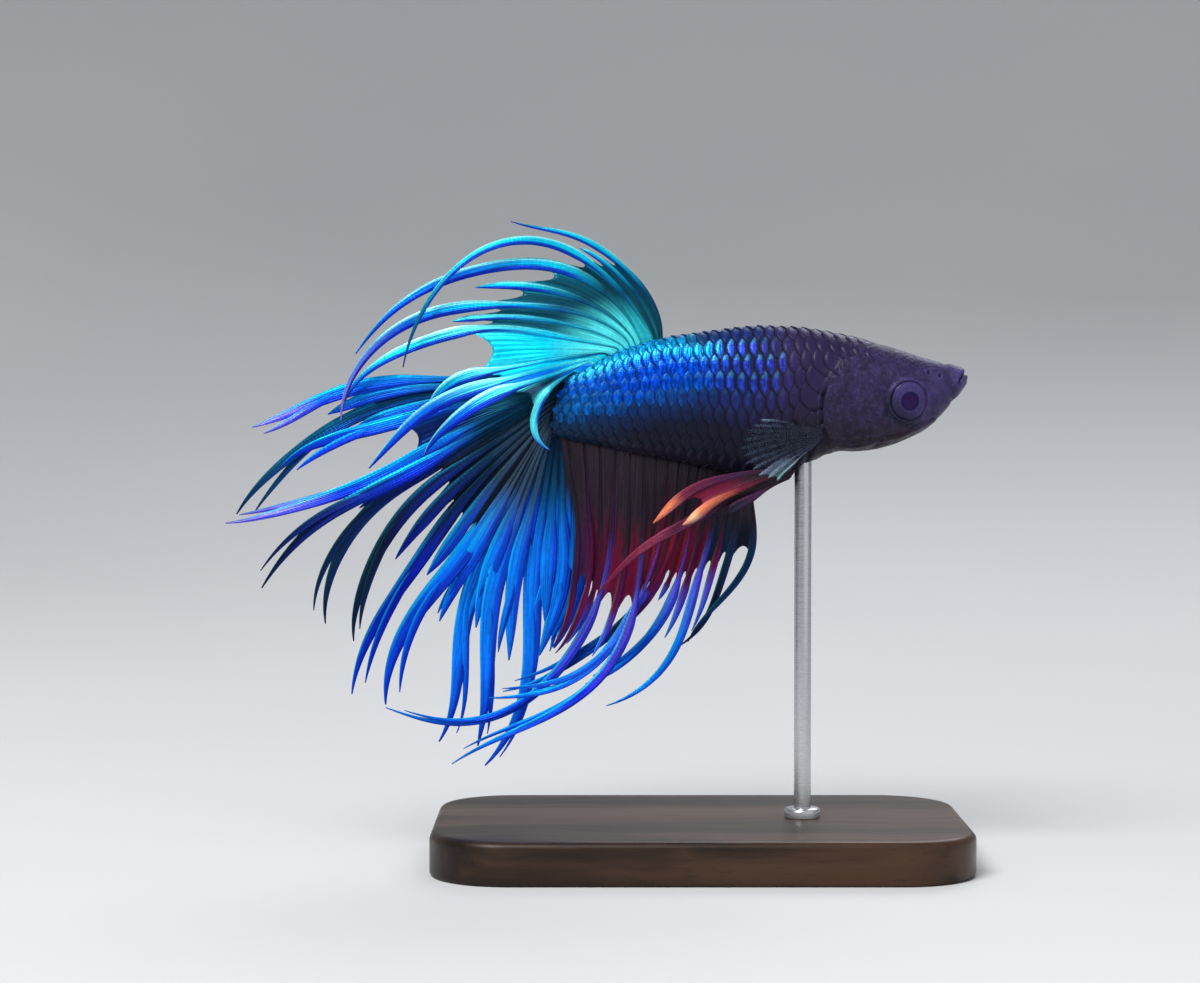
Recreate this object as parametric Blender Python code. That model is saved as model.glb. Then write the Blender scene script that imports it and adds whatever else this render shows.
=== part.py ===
"""Crowntail betta fish, life size, held still on a plain display stand.

Metres, +Z up, head toward +X, the fish's right flank toward -Y.
The origin is the centre of the underside of the stand's base.
"""
import bpy
import numpy as np

MM = 0.001
GAP = 0.3            # clear space between neighbouring pieces, mm

# ---- body -----------------------------------------------------------------
SNOUT_X = 30.9       # tip of the snout along X, mm
BODY_LENGTH = 46.8   # snout to the middle of the tail stalk's end, mm
RING_POINTS = 20
RING_COUNT = 23
STALK_SLANT = 0.31   # forward lean of the stalk's end, mm per mm of height
STALK_BULGE = 0.9    # how far the stalk's end swells aft at mid height

# distance behind the snout, height of back, height of belly, half width,
# how much wider the upper half is than the lower (all mm, last one a ratio)
STATIONS = (
    (0.0, 56.7, 55.5, 0.60, 0.00),
    (0.4, 57.4, 54.9, 1.40, 0.00),
    (1.0, 57.7, 54.2, 1.95, 0.00),
    (2.8, 58.1, 52.1, 2.80, 0.00),
    (4.0, 58.4, 50.9, 3.25, 0.00),
    (7.0, 59.3, 49.2, 4.05, 0.00),
    (10.3, 60.4, 48.1, 4.60, 0.03),
    (13.0, 61.2, 47.8, 4.90, 0.06),
    (15.0, 61.6, 47.8, 5.00, 0.08),
    (17.0, 62.0, 46.9, 4.95, 0.10),
    (19.0, 62.3, 46.0, 4.85, 0.12),
    (21.0, 62.4, 44.9, 4.70, 0.14),
    (23.2, 62.5, 44.0, 4.50, 0.16),
    (25.5, 62.4, 44.1, 4.25, 0.18),
    (28.2, 62.1, 45.2, 3.95, 0.18),
    (32.0, 61.6, 46.1, 3.50, 0.16),
    (35.3, 61.1, 46.8, 3.10, 0.13),
    (38.3, 60.3, 47.4, 2.70, 0.10),
    (41.4, 59.5, 48.3, 2.25, 0.06),
    (44.4, 58.3, 48.9, 1.75, 0.03),
    (46.8, 57.4, 49.4, 1.35, 0.00),
)

EYE_CENTRE = (24.5, 2.45, 53.9)      # right and left are mirrored in Y
EYE_RADII = (2.3, 1.85, 2.3)
GILL_CENTRE = (17.9, 52.4)
GILL_RADII = (3.9, 5.5)
GILL_INNER = 1.7                     # how near the middle the covers reach
GILL_LIFT = 1.045                    # covers stand a little proud of the body
HEAD_CUT = ((17.3, 66.0), (14.5, 42.0))
TAIL_CUT = ((-8.3, 66.0), (-11.6, 42.0))
JAW_OUTLINE = ((33.0, 56.25), (30.1, 56.2), (28.0, 54.2), (25.6, 50.6),
               (24.2, 46.0), (33.0, 46.0))

# ---- fins -----------------------------------------------------------------
# Every ray: place along the fin's base 0..1, heading at the root (degrees,
# 0 forward, 90 up), heading at the tip, length, how late it turns, extra curl
# of the last part (degrees), sideways sway at the tip (- toward the right
# flank), and how far out the web holds it (lengths in mm).
DORSAL_RAYS = (
    (0.00, 92, 180, 27.0, 0.6, 0, 0.5, 11.0),
    (0.12, 116, 326, 42.0, 1.5, -73, -2.6, 12.5),
    (0.25, 102, 232, 40.5, 0.6, 22, 1.1, 18.0),
    (0.38, 112, 216, 41.5, 0.4, 55, -0.9, 18.0),
    (0.52, 168, 222, 34.5, 1.8, 28, -0.7, 15.0),
    (0.65, 187, 223, 23.0, 4.0, 36, -1.5, 12.5),
    (0.74, 190, 277, 31.0, 3.3, -21, -2.3, 12.5),
    (0.82, 196, 203, 23.0, 0.8, 62, -2.7, 10.0),
    (1.00, 214, 363, 11.5, 2.2, -36, -3.0, 6.0),
)
CAUDAL_RAYS = (
    (0.02, 182, 226, 38.0, 2.7, -26, 0.4, 24.0),
    (0.11, 188, 256, 43.5, 3.0, -12, 2.3, 23.0),
    (0.18, 200, 187, 34.5, 0.4, 39, 0.6, 19.5),
    (0.25, 205, 217, 42.5, 2.4, -37, 1.3, 19.0),
    (0.32, 208, 234, 42.0, 3.8, 1, 0.4, 19.0),
    (0.42, 210, 282, 40.0, 3.7, -1, 1.9, 18.5),
    (0.48, 215, 291, 38.0, 3.3, -11, 0.6, 17.5),
    (0.60, 224, 262, 41.0, 2.3, -3, 2.0, 18.5),
    (0.67, 243, 230, 39.0, 0.4, 38, 0.7, 17.5),
    (0.77, 241, 304, 39.5, 2.1, -64, 2.1, 15.0),
    (0.82, 248, 280, 38.0, 1.6, -18, 0.9, 16.0),
    (0.90, 261, 271, 40.0, 1.0, -45, 2.3, 14.0),
    (0.95, 275, 262, 25.5, 0.7, -21, 1.4, 13.0),
    (1.00, 289, 254, 24.0, 0.6, -17, 2.2, 12.5),
)
ANAL_RAYS = (
    (0.00, 275, 126, 20.5, 2.1, 124, 0.0, 7.0),
    (0.07, 264, 194, 21.0, 2.8, 23, 0.9, 8.0),
    (0.16, 257, 206, 31.5, 2.9, -8, -0.7, 11.5),
    (0.27, 255, 186, 30.0, 3.4, 4, 1.5, 13.0),
    (0.37, 265, 186, 36.5, 1.2, 4, 0.3, 12.5),
    (0.50, 267, 148, 38.5, 1.9, 38, -2.2, 15.0),
    (0.64, 271, 120, 46.0, 2.1, 90, -4.6, 16.5),
    (0.81, 267, 24, 49.0, 2.8, 141, -0.8, 17.0),
    (0.99, 272, 234, 24.5, 2.0, 15, -1.2, 15.0),
)
PELVIC_RAYS = (
    (0.00, 180, 228, 17.0, 1.3, 0, 3.0, 12.5),
    (0.35, 187, 222, 13.5, 1.2, 0, 2.5, 12.0),
    (0.70, 197, 226, 25.5, 1.0, 0, 2.0, 10.5),
    (1.00, 206, 222, 10.5, 1.0, 0, 1.4, 8.0),
)
PECTORAL_RAYS = (
    (0.00, 164, 176, 6.6, 1.0, 0, 3.0, 6.2),
    (0.20, 172, 186, 7.9, 1.0, 0, 3.4, 7.6),
    (0.40, 182, 196, 8.6, 1.0, 0, 3.5, 8.3),
    (0.60, 192, 206, 8.4, 1.0, 0, 3.4, 8.1),
    (0.80, 203, 217, 7.4, 1.0, 0, 3.1, 7.1),
    (1.00, 215, 229, 5.8, 1.0, 0, 2.6, 5.5),
)

# Slighter rays between two named ones: which gap, how far into the free part
DORSAL_BETWEEN = {2: 0.25}
CAUDAL_BETWEEN = {0: 0.3, 4: 0.35, 6: 0.35, 8: 0.35, 10: 0.35}
ANAL_BETWEEN = {1: 0.5, 2: 0.4, 6: 0.15, 7: 0.3}

DORSAL_BASE = (-4.4, -14.75)          # first and last ray along X
ANAL_BASE = (6.0, -13.5)
CAUDAL_BASE = (                      # place 0..1, X, Z: wraps the stalk's end
    (0.00, -15.00, 57.1),
    (0.30, -16.65, 55.1),
    (0.60, -17.60, 52.2),
    (0.80, -17.65, 50.2),
    (0.91, -17.05, 49.1),
    (1.00, -15.80, 48.6),
)
PELVIC_ROOT = ((9.7, -3.0, 45.6), (9.2, -2.2, 44.2))
PECTORAL_ROOT = ((13.0, -4.75, 50.4), (12.9, -4.25, 48.4))

# ---- stand ----------------------------------------------------------------
BASE_SIZE = (62.0, 38.0, 5.0)
BASE_CORNER = 9.0
BASE_BEVEL = 0.6
ROD_X = 12.0
ROD_RADIUS = 1.0
ROD_BOTTOM = 2.8
ROD_TOP = 48.6


def clear_scene():
    for obj in list(bpy.data.objects):
        bpy.data.objects.remove(obj, do_unlink=True)


def smoothstep(t):
    t = np.clip(t, 0.0, 1.0)
    return t * t * (3.0 - 2.0 * t)


def flow(x, xs, ys):
    """Smooth curve through the points (xs, ys): cubic pieces, shared slopes."""
    xs = np.asarray(xs, float)
    ys = np.asarray(ys, float)
    slope = np.gradient(ys, xs)
    x = np.clip(np.asarray(x, float), xs[0], xs[-1])
    i = np.clip(np.searchsorted(xs, x, side="right") - 1, 0, len(xs) - 2)
    w = xs[i + 1] - xs[i]
    t = (x - xs[i]) / w
    a = (1 + 2 * t) * (1 - t) ** 2 * ys[i]
    b = t * (1 - t) ** 2 * w * slope[i]
    c = t * t * (3 - 2 * t) * ys[i + 1]
    d = t * t * (t - 1) * w * slope[i + 1]
    return a + b + c + d


def station(behind):
    """Back, belly, half width and fullness at distances behind the snout."""
    table = np.array(STATIONS)
    return [flow(behind, table[:, 0], table[:, k]) for k in range(1, 5)]


def body_point(behind, angle, fuller=1.0):
    """Surface point: an ellipse on edge, fuller above, rings leaning aft."""
    back, belly, half, lean = station(behind)
    mid = 0.5 * (back + belly)
    tall = 0.5 * (back - belly)
    late = smoothstep((behind - 36.0) / 10.8)
    slant = STALK_SLANT * late
    up = np.sin(angle)
    y = fuller * half * np.cos(angle) * (1.0 + lean * up)
    z = mid + tall * up
    x = SNOUT_X - behind + slant * (z - mid) - STALK_BULGE * late * (1.0 - up * up)
    return np.stack([x, y, z], axis=-1)


def midline(x, angle):
    """Height of the back (angle +90) or belly (-90) edge at place x."""
    behind = np.linspace(0.0, BODY_LENGTH, 240)
    edge = body_point(behind, np.full(240, np.radians(angle)))
    return np.interp(x, edge[::-1, 0], edge[::-1, 2])


def mesh_object(name, verts, faces, smooth=30.0):
    mesh = bpy.data.meshes.new(name)
    mesh.from_pydata((np.asarray(verts) * MM).tolist(), [], faces)
    mesh.validate()
    mesh.update()
    if smooth > 0.0:
        mesh.shade_smooth()
        mesh.set_sharp_from_angle(angle=np.radians(smooth))
    obj = bpy.data.objects.new(name, mesh)
    bpy.context.scene.collection.objects.link(obj)
    return obj


def loft(name, rings, smooth=30.0):
    """Closed skin over rings of equal point counts, with flat end caps."""
    count, around, _ = rings.shape
    faces = []
    for k in range(count - 1):
        for j in range(around):
            a = k * around + j
            b = k * around + (j + 1) % around
            faces.append((a, b, b + around, a + around))
    faces.append(tuple(reversed(range(around))))
    faces.append(tuple(range((count - 1) * around, count * around)))
    return mesh_object(name, rings.reshape(-1, 3), faces, smooth)


def body_mesh(name, fuller=1.0):
    """The whole body from snout to tail stalk as one lofted solid."""
    s = np.linspace(0.0, 1.0, RING_COUNT)
    behind = BODY_LENGTH * s ** 1.5
    angle = np.linspace(0.0, 2 * np.pi, RING_POINTS, endpoint=False)
    rings = body_point(behind[:, None], angle[None, :], fuller)
    return loft(name, rings, 40.0)


def prism_rings(outline, y_from, y_to):
    outline = np.asarray(outline, float)
    rings = []
    for y in (y_from, y_to):
        level = np.full(len(outline), y)
        rings.append(np.stack([outline[:, 0], level, outline[:, 1]], axis=1))
    return np.array(rings)


def area(outline):
    x, z = np.asarray(outline, float).T
    return 0.5 * float(np.sum(x * np.roll(z, -1) - z * np.roll(x, -1)))


def cutter(name, outline, y_from=-20.0, y_to=20.0):
    """Hidden straight-sided block, an outline in XZ drawn out along Y."""
    if area(outline) < 0.0:
        outline = list(reversed(list(outline)))
    rings = prism_rings(outline, y_from, y_to)
    return hide(loft(name, rings[::-1]))


def hide(obj):
    obj.hide_render = True
    obj.display_type = "WIRE"
    return obj


def carve(obj, tool, operation):
    mod = obj.modifiers.new(tool.name, "BOOLEAN")
    mod.operation = operation
    mod.solver = "EXACT"
    mod.object = tool


def tidy_seams(obj):
    """Join points a hair apart that two crossing cuts leave behind."""
    mod = obj.modifiers.new("seams", "WELD")
    mod.merge_threshold = 0.00003


def side_of(cut, forward, shift):
    """Block outline on one side of a slanting cut line, moved by shift."""
    (x0, z0), (x1, z1) = cut
    far = 60.0 if forward else -60.0
    return [(x0 + shift, z0), (x1 + shift, z1), (far, z1), (far, z0)]


def grown(outline, by):
    """The outline pushed out from its middle by about the given distance."""
    pts = np.asarray(outline, float)
    out = pts - pts.mean(axis=0)
    reach = np.linalg.norm(out, axis=1, keepdims=True)
    return pts.mean(axis=0) + out * (1.0 + 1.4 * by / reach)


def oval(centre, radii, by=0.0, count=26):
    t = np.linspace(0.1, 2 * np.pi + 0.1, count, endpoint=False)
    x = centre[0] + (radii[0] + by) * np.cos(t)
    z = centre[1] + (radii[1] + by) * np.sin(t)
    return np.stack([x, z], axis=1)


def ball(name, centre, radii, grow=0.0, around=12, levels=8):
    """Ellipsoid with rings stacked along Y and small flat poles."""
    a = np.linspace(0.0, 2 * np.pi, around, endpoint=False)
    b = np.linspace(-0.5 * np.pi + 0.12, 0.5 * np.pi - 0.12, levels)
    ring = np.cos(b)[:, None]
    x = centre[0] + (radii[0] + grow) * ring * np.cos(a)[None, :]
    z = centre[2] + (radii[2] + grow) * ring * np.sin(a)[None, :]
    y = centre[1] + (radii[1] + grow) * np.sin(b)[:, None] + 0.0 * x
    rings = np.stack([x, y, z], axis=-1)
    return loft(name, rings[::-1], 60.0)


def disc_column(name, x, radius, low, high, count=24, chamfer=0.0):
    """Upright round bar, its upper rim eased by a small chamfer."""
    t = np.linspace(0.0, 2 * np.pi, count, endpoint=False)
    levels = [(low, radius), (high - chamfer, radius)]
    if chamfer > 0.0:
        levels.append((high, radius - chamfer))
    rings = [
        np.stack([x + r * np.cos(t), r * np.sin(t), np.full(count, z)], axis=1)
        for z, r in levels
    ]
    return loft(name, np.array(rings), 40.0)


def eye_centre(side):
    return (EYE_CENTRE[0], side * EYE_CENTRE[1], EYE_CENTRE[2])


def make_cutters():
    """All the hidden tools that part the body where a person would."""
    tools = {}
    gap = 0.5 * GAP
    tools["front"] = cutter("cut_front", side_of(HEAD_CUT, True, gap))
    middle = side_of(HEAD_CUT, True, -gap)[:2] + side_of(TAIL_CUT, True, gap)[1::-1]
    tools["middle"] = cutter("cut_middle", middle)
    tools["rear"] = cutter("cut_rear", side_of(TAIL_CUT, False, -gap))
    tools["jaw"] = cutter("cut_jaw", JAW_OUTLINE)
    tools["jaw_room"] = cutter("cut_jaw_room", grown(JAW_OUTLINE, GAP))
    inner = GILL_INNER
    for name, side in (("right", -1.0), ("left", 1.0)):
        low, high = sorted((side * inner, side * 15.0))
        cover = oval(GILL_CENTRE, GILL_RADII)
        tools["gill_" + name] = cutter("cut_gill_" + name, cover, low, high)
        low, high = sorted((side * (inner - GAP), side * 15.0))
        room = oval(GILL_CENTRE, GILL_RADII, GAP)
        tools["room_" + name] = cutter("cut_room_" + name, room, low, high)
        socket = ball("cut_eye_" + name, eye_centre(side), EYE_RADII, GAP)
        tools["eye_" + name] = hide(socket)
    rod_room = disc_column("cut_rod", ROD_X, ROD_RADIUS + GAP, 30.0, ROD_TOP + GAP)
    tools["rod"] = hide(rod_room)
    foot_room = disc_column("cut_foot", ROD_X, ROD_RADIUS + GAP, ROD_BOTTOM - GAP, 9.0)
    tools["foot"] = hide(foot_room)
    return tools


def make_head(tools):
    head = body_mesh("head")
    carve(head, tools["front"], "INTERSECT")
    carve(head, tools["jaw_room"], "DIFFERENCE")
    for name in ("right", "left"):
        carve(head, tools["room_" + name], "DIFFERENCE")
        carve(head, tools["eye_" + name], "DIFFERENCE")
    tidy_seams(head)
    return head


def make_jaw(tools):
    jaw = body_mesh("lower_jaw")
    carve(jaw, tools["jaw"], "INTERSECT")
    return jaw


def make_trunk(tools):
    trunk = body_mesh("trunk")
    carve(trunk, tools["middle"], "INTERSECT")
    for name in ("right", "left"):
        carve(trunk, tools["room_" + name], "DIFFERENCE")
    carve(trunk, tools["rod"], "DIFFERENCE")
    tidy_seams(trunk)
    return trunk


def make_tail_stalk(tools):
    stalk = body_mesh("tail_stalk")
    carve(stalk, tools["rear"], "INTERSECT")
    return stalk


def make_gill_cover(tools, name):
    cover = body_mesh("gill_cover_" + name, GILL_LIFT)
    carve(cover, tools["gill_" + name], "INTERSECT")
    return cover


def make_eye(name, side):
    return ball("eye_" + name, eye_centre(side), EYE_RADII)


def ray_line(root, ray, rise, count):
    """Centre line of one ray.

    heading(t) = first + (last - first) t^hold + curl t^5, and the line is the
    running sum of (cos, sin) of it; y leaves the root by sway smoothstep(t / rise).
    """
    _, first, last, length, hold, curl, sway, _ = ray
    t = np.linspace(0.0, 1.0, count)
    heading = np.radians(first + (last - first) * t ** hold + curl * t ** 5)
    step = length * np.stack([np.cos(heading), np.sin(heading)], axis=1) / (count - 1)
    run = np.zeros((count, 2))
    run[1:] = np.cumsum(0.5 * (step[1:] + step[:-1]), axis=0)
    y = root[1] + sway * smoothstep(t / rise)
    return np.stack([root[0] + run[:, 0], y, root[2] + run[:, 1]], axis=1)


def fin_lines(rays, roots, rise, web_rows, free_rows, between=None):
    """Rows of points on every ray: even steps in the web, then in the free part.

    A ray between two named ones runs midway and stops part of the way out.
    rise is how soon the front and the back rays take their sway.
    """
    lines = []
    for ray, root in zip(rays, roots):
        dense = ray_line(root, ray, rise[0] if ray[0] < 0.6 else rise[1], 121)
        held = ray[7] / ray[3]
        t = np.r_[np.linspace(0.0, held, web_rows + 1),
                  np.linspace(held, 1.0, free_rows + 1)[1:]]
        place = np.linspace(0.0, 1.0, 121)
        lines.append(np.array([np.interp(t, place, dense[:, k]) for k in range(3)]).T)
    for gap in sorted(between or {}, reverse=True):
        middle = 0.5 * (lines[gap] + lines[gap + 1])
        row = np.arange(web_rows + free_rows + 1.0)
        past = np.maximum(row - web_rows, 0.0) * between[gap]
        row = np.minimum(row, web_rows) + past
        level = np.arange(len(middle))
        short = np.array([np.interp(row, level, middle[:, k]) for k in range(3)]).T
        lines.insert(gap + 1, short)
    return np.array(lines)


def refined(lines, times):
    """The same ray lines with extra points between their rows."""
    rows = lines.shape[1]
    fine = np.linspace(0.0, rows - 1.0, (rows - 1) * times + 1)
    low = np.minimum(fine.astype(int), rows - 2)
    part = (fine - low)[None, :, None]
    return lines[:, low] * (1.0 - part) + lines[:, low + 1] * part


def ray_widths(lines, web_rows, widest, tip):
    """Half width of every ray row: narrow root, full at the web's edge, fine tip.

    Never more than 0.42 of the way to a neighbour that lies in the same sheet.
    """
    rays, rows, _ = lines.shape
    fine = 6
    near = refined(lines, fine)
    k = np.arange(rows)
    swell = smoothstep((k + 0.3) / web_rows)
    free = np.clip((k - web_rows) / (rows - 1.0 - web_rows), 0.0, 1.0)
    nominal = widest * (0.12 + 0.88 * swell) * (1.0 - free ** 1.7) + tip * free ** 1.7
    widths = np.tile(nominal, (rays, 1))
    for i in range(rays):
        limit = np.full(near.shape[1], 99.0)
        for j in range(rays):
            if i == j:
                continue
            step = near[i][:, None] - near[j][None]
            apart = np.hypot(step[:, :, 0], step[:, :, 2])
            other = np.abs(step[:, :, 1]) > 0.66
            if abs(i - j) == 1:
                other[:web_rows * fine + 1] = False
            apart[other] = 99.0
            limit = np.minimum(limit, 0.42 * apart.min(axis=1))
        for row in range(rows):
            span = limit[max(row * fine - 3, 0):row * fine + 4]
            widths[i, row] = min(widths[i, row], span.min())
    return np.maximum(widths, np.where(k > web_rows, 0.13, 0.05))


def comb_fin(name, lines, widths, web_rows, thick, notch, last_gap=None):
    """Fin solid: a ribbon along every ray, webs between them near the base.

    The sheet is doubled at y - thick/2 and y + thick/2 and closed round its rim;
    each web ends in a notch drawn back toward the base.  The last gap may hold
    for fewer rows than the others.
    """
    rays, rows, _ = lines.shape
    along = np.gradient(lines, axis=1)
    across = np.stack([-along[:, :, 2], 0 * along[:, :, 0], along[:, :, 0]], axis=2)
    across /= np.linalg.norm(across, axis=2, keepdims=True)
    left = lines - across * widths[:, :, None]
    right = lines + across * widths[:, :, None]
    turn = np.cross(along[:, :, (0, 2)][:-1], (lines[1:] - lines[:-1])[:, :, (0, 2)])
    if turn[:, 1:web_rows].mean() < 0.0:
        left, right = right, left
    sheet = np.concatenate([left.reshape(-1, 3), right.reshape(-1, 3)])
    notches = []
    faces = []
    size = rays * rows
    for i in range(rays):
        for k in range(rows - 1):
            a = i * rows + k
            faces.append((a, a + 1, size + a + 1, size + a))
    for i in range(rays - 1):
        held = last_gap if last_gap and i == rays - 2 else web_rows
        for k in range(held - 1):
            a = size + i * rows + k
            b = (i + 1) * rows + k
            faces.append((a, a + 1, b + 1, b))
        a = size + i * rows + held - 1
        b = (i + 1) * rows + held - 1
        low = 0.5 * (sheet[a] + sheet[b])
        high = 0.5 * (sheet[a + 1] + sheet[b + 1])
        tip = 2 * size + len(notches)
        notches.append(low + (high - low) * (1.0 - notch))
        faces.append((a, a + 1, tip))
        faces.append((a, tip, b))
        faces.append((tip, b + 1, b))
    sheet = np.concatenate([sheet, np.array(notches)])
    return thicken(name, sheet, faces, thick)


def thicken(name, sheet, faces, thick):
    """Close a sheet into a solid: two faces thick apart in Y and a rim."""
    count = len(sheet)
    shift = np.array([0.0, 0.5 * thick, 0.0])
    verts = np.concatenate([sheet - shift, sheet + shift])
    edges = {}
    for face in faces:
        for a, b in zip(face, face[1:] + face[:1]):
            edges[(a, b)] = (b, a) not in edges
            if (b, a) in edges:
                edges[(b, a)] = False
    back = [tuple(v + count for v in reversed(face)) for face in faces]
    rim = [(b, a, a + count, b + count) for (a, b), free in edges.items() if free]
    solid = mesh_object(name, verts, list(faces) + back + rim, 50.0)
    if volume(solid.data) < 0.0:
        solid.data.flip_normals()
    return solid


def volume(mesh):
    mesh.calc_loop_triangles()
    pts = np.array([v.co for v in mesh.vertices])
    tri = np.array([t.vertices for t in mesh.loop_triangles])
    a, b, c = pts[tri[:, 0]], pts[tri[:, 1]], pts[tri[:, 2]]
    return float(np.einsum("ij,ij->i", a, np.cross(b, c)).sum()) / 6.0


def roots_along_edge(rays, base, angle, lift):
    """Ray roots just outside the back or the belly, spread along X."""
    roots = []
    for ray in rays:
        x = base[0] + (base[1] - base[0]) * ray[0]
        roots.append((x, 0.0, float(midline(x, angle)) + lift))
    return roots


def lean_aside(roots, rays, aside, sink):
    """Move the last roots of a row onto the right shoulder of the stalk."""
    moved = []
    for (x, y, z), ray in zip(roots, rays):
        share = float(smoothstep((ray[0] - 0.6) / 0.4))
        moved.append((x, y - aside * share, z - sink * share ** 3))
    return moved


def roots_between(rays, first, last):
    first = np.asarray(first, float)
    last = np.asarray(last, float)
    return [tuple(first + (last - first) * ray[0]) for ray in rays]


def make_dorsal_fin():
    roots = roots_along_edge(DORSAL_RAYS, DORSAL_BASE, 90.0, GAP + 0.1)
    roots = lean_aside(roots, DORSAL_RAYS, 1.0, 0.3)
    lines = fin_lines(DORSAL_RAYS, roots, (0.9, 0.35), 8, 9, DORSAL_BETWEEN)
    widths = ray_widths(lines, 8, 0.68, 0.17)
    return comb_fin("dorsal_fin", lines, widths, 8, 0.6, 0.5, last_gap=2)


def make_caudal_fin():
    place, xs, zs = np.array(CAUDAL_BASE).T
    along = [ray[0] for ray in CAUDAL_RAYS]
    roots = [(x, 0.0, z) for x, z in zip(flow(along, place, xs), flow(along, place, zs))]
    lines = fin_lines(CAUDAL_RAYS, roots, (0.9, 0.9), 7, 7, CAUDAL_BETWEEN)
    widths = ray_widths(lines, 7, 0.78, 0.17)
    return comb_fin("caudal_fin", lines, widths, 7, 0.6, 0.6)


def make_anal_fin():
    roots = roots_along_edge(ANAL_RAYS, ANAL_BASE, -90.0, -GAP - 0.1)
    lines = fin_lines(ANAL_RAYS, roots, (0.9, 0.9), 6, 8, ANAL_BETWEEN)
    widths = ray_widths(lines, 6, 0.58, 0.16)
    return comb_fin("anal_fin", lines, widths, 6, 0.6, 0.6)


def mirrored(lines, side):
    """Keep the right side as it is, or send it to the left of the body."""
    return lines * np.array([1.0, -side, 1.0])


def outward(rays):
    return [ray[:6] + (-ray[6],) + ray[7:] for ray in rays]


def make_pelvic_fin(name, side):
    roots = roots_between(PELVIC_RAYS, *PELVIC_ROOT)
    lines = mirrored(fin_lines(outward(PELVIC_RAYS), roots, (1.4, 1.4), 5, 5), side)
    widths = ray_widths(lines, 5, 0.8, 0.16)
    return comb_fin("pelvic_fin_" + name, lines, widths, 5, 0.6, 0.3)


def make_pectoral_fin(name, side):
    roots = roots_between(PECTORAL_RAYS, *PECTORAL_ROOT)
    lines = mirrored(fin_lines(outward(PECTORAL_RAYS), roots, (2.0, 2.0), 3, 1), side)
    widths = ray_widths(lines, 3, 0.45, 0.2)
    return comb_fin("pectoral_fin_" + name, lines, widths, 3, 0.6, 0.2)


def rounded_outline(half_x, half_y, corner, steps=6):
    """Rectangle with round corners, counter-clockwise from above."""
    t = np.linspace(0.0, 0.5 * np.pi, steps)
    pts = []
    for turn, (sx, sy) in enumerate(((1, 1), (-1, 1), (-1, -1), (1, -1))):
        a = t + 0.5 * np.pi * turn
        x = sx * (half_x - corner) + corner * np.cos(a)
        y = sy * (half_y - corner) + corner * np.sin(a)
        pts.append(np.stack([x, y], axis=1))
    return np.concatenate(pts)


def make_stand_base(tools):
    """Flat slab, round corners, eased edges, with a hole for the rod."""
    sx, sy, sz = BASE_SIZE
    rings = []
    for z, inset in ((0.0, 0.3), (0.3, 0.0), (sz - BASE_BEVEL, 0.0), (sz, BASE_BEVEL)):
        corner = BASE_CORNER - inset
        flat = rounded_outline(0.5 * sx - inset, 0.5 * sy - inset, corner)
        rings.append(np.c_[flat, np.full(len(flat), z)])
    base = loft("stand_base", np.array(rings), 0.0)
    carve(base, tools["foot"], "DIFFERENCE")
    return base


def make_stand_rod():
    return disc_column("stand_rod", ROD_X, ROD_RADIUS, ROD_BOTTOM, ROD_TOP, 20, 0.2)


def paint(obj, name, colour, roughness, metallic=0.0):
    mat = bpy.data.materials.new(name)
    mat.use_nodes = True
    shader = mat.node_tree.nodes["Principled BSDF"]
    shader.inputs["Base Color"].default_value = (*colour, 1.0)
    shader.inputs["Roughness"].default_value = roughness
    shader.inputs["Metallic"].default_value = metallic
    mat.diffuse_color = (*colour, 1.0)
    obj.data.materials.clear()
    obj.data.materials.append(mat)


def main():
    clear_scene()
    tools = make_cutters()
    dark = (0.045, 0.024, 0.075)
    paint(make_head(tools), "head_skin", dark, 0.5)
    paint(make_jaw(tools), "jaw_skin", (0.06, 0.03, 0.11), 0.5)
    paint(make_trunk(tools), "trunk_scales", (0.01, 0.06, 0.42), 0.4)
    paint(make_tail_stalk(tools), "stalk_scales", (0.01, 0.13, 0.5), 0.4)
    for name, side in (("right", -1.0), ("left", 1.0)):
        cover = make_gill_cover(tools, name)
        paint(cover, "gill_skin_" + name, (0.055, 0.03, 0.095), 0.45)
        paint(make_eye(name, side), "eye_glass_" + name, (0.02, 0.012, 0.04), 0.15)
        pelvic = make_pelvic_fin(name, side)
        paint(pelvic, "pelvic_web_" + name, (0.3, 0.02, 0.04), 0.45)
        pectoral = make_pectoral_fin(name, side)
        paint(pectoral, "pectoral_web_" + name, (0.16, 0.2, 0.36), 0.4)
    paint(make_dorsal_fin(), "dorsal_web", (0.01, 0.32, 0.45), 0.4)
    paint(make_caudal_fin(), "caudal_web", (0.005, 0.14, 0.6), 0.4)
    paint(make_anal_fin(), "anal_web", (0.12, 0.02, 0.09), 0.45)
    paint(make_stand_base(tools), "stand_board", (0.035, 0.035, 0.04), 0.4)
    paint(make_stand_rod(), "stand_steel", (0.55, 0.56, 0.58), 0.3, 1.0)


main()
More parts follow.
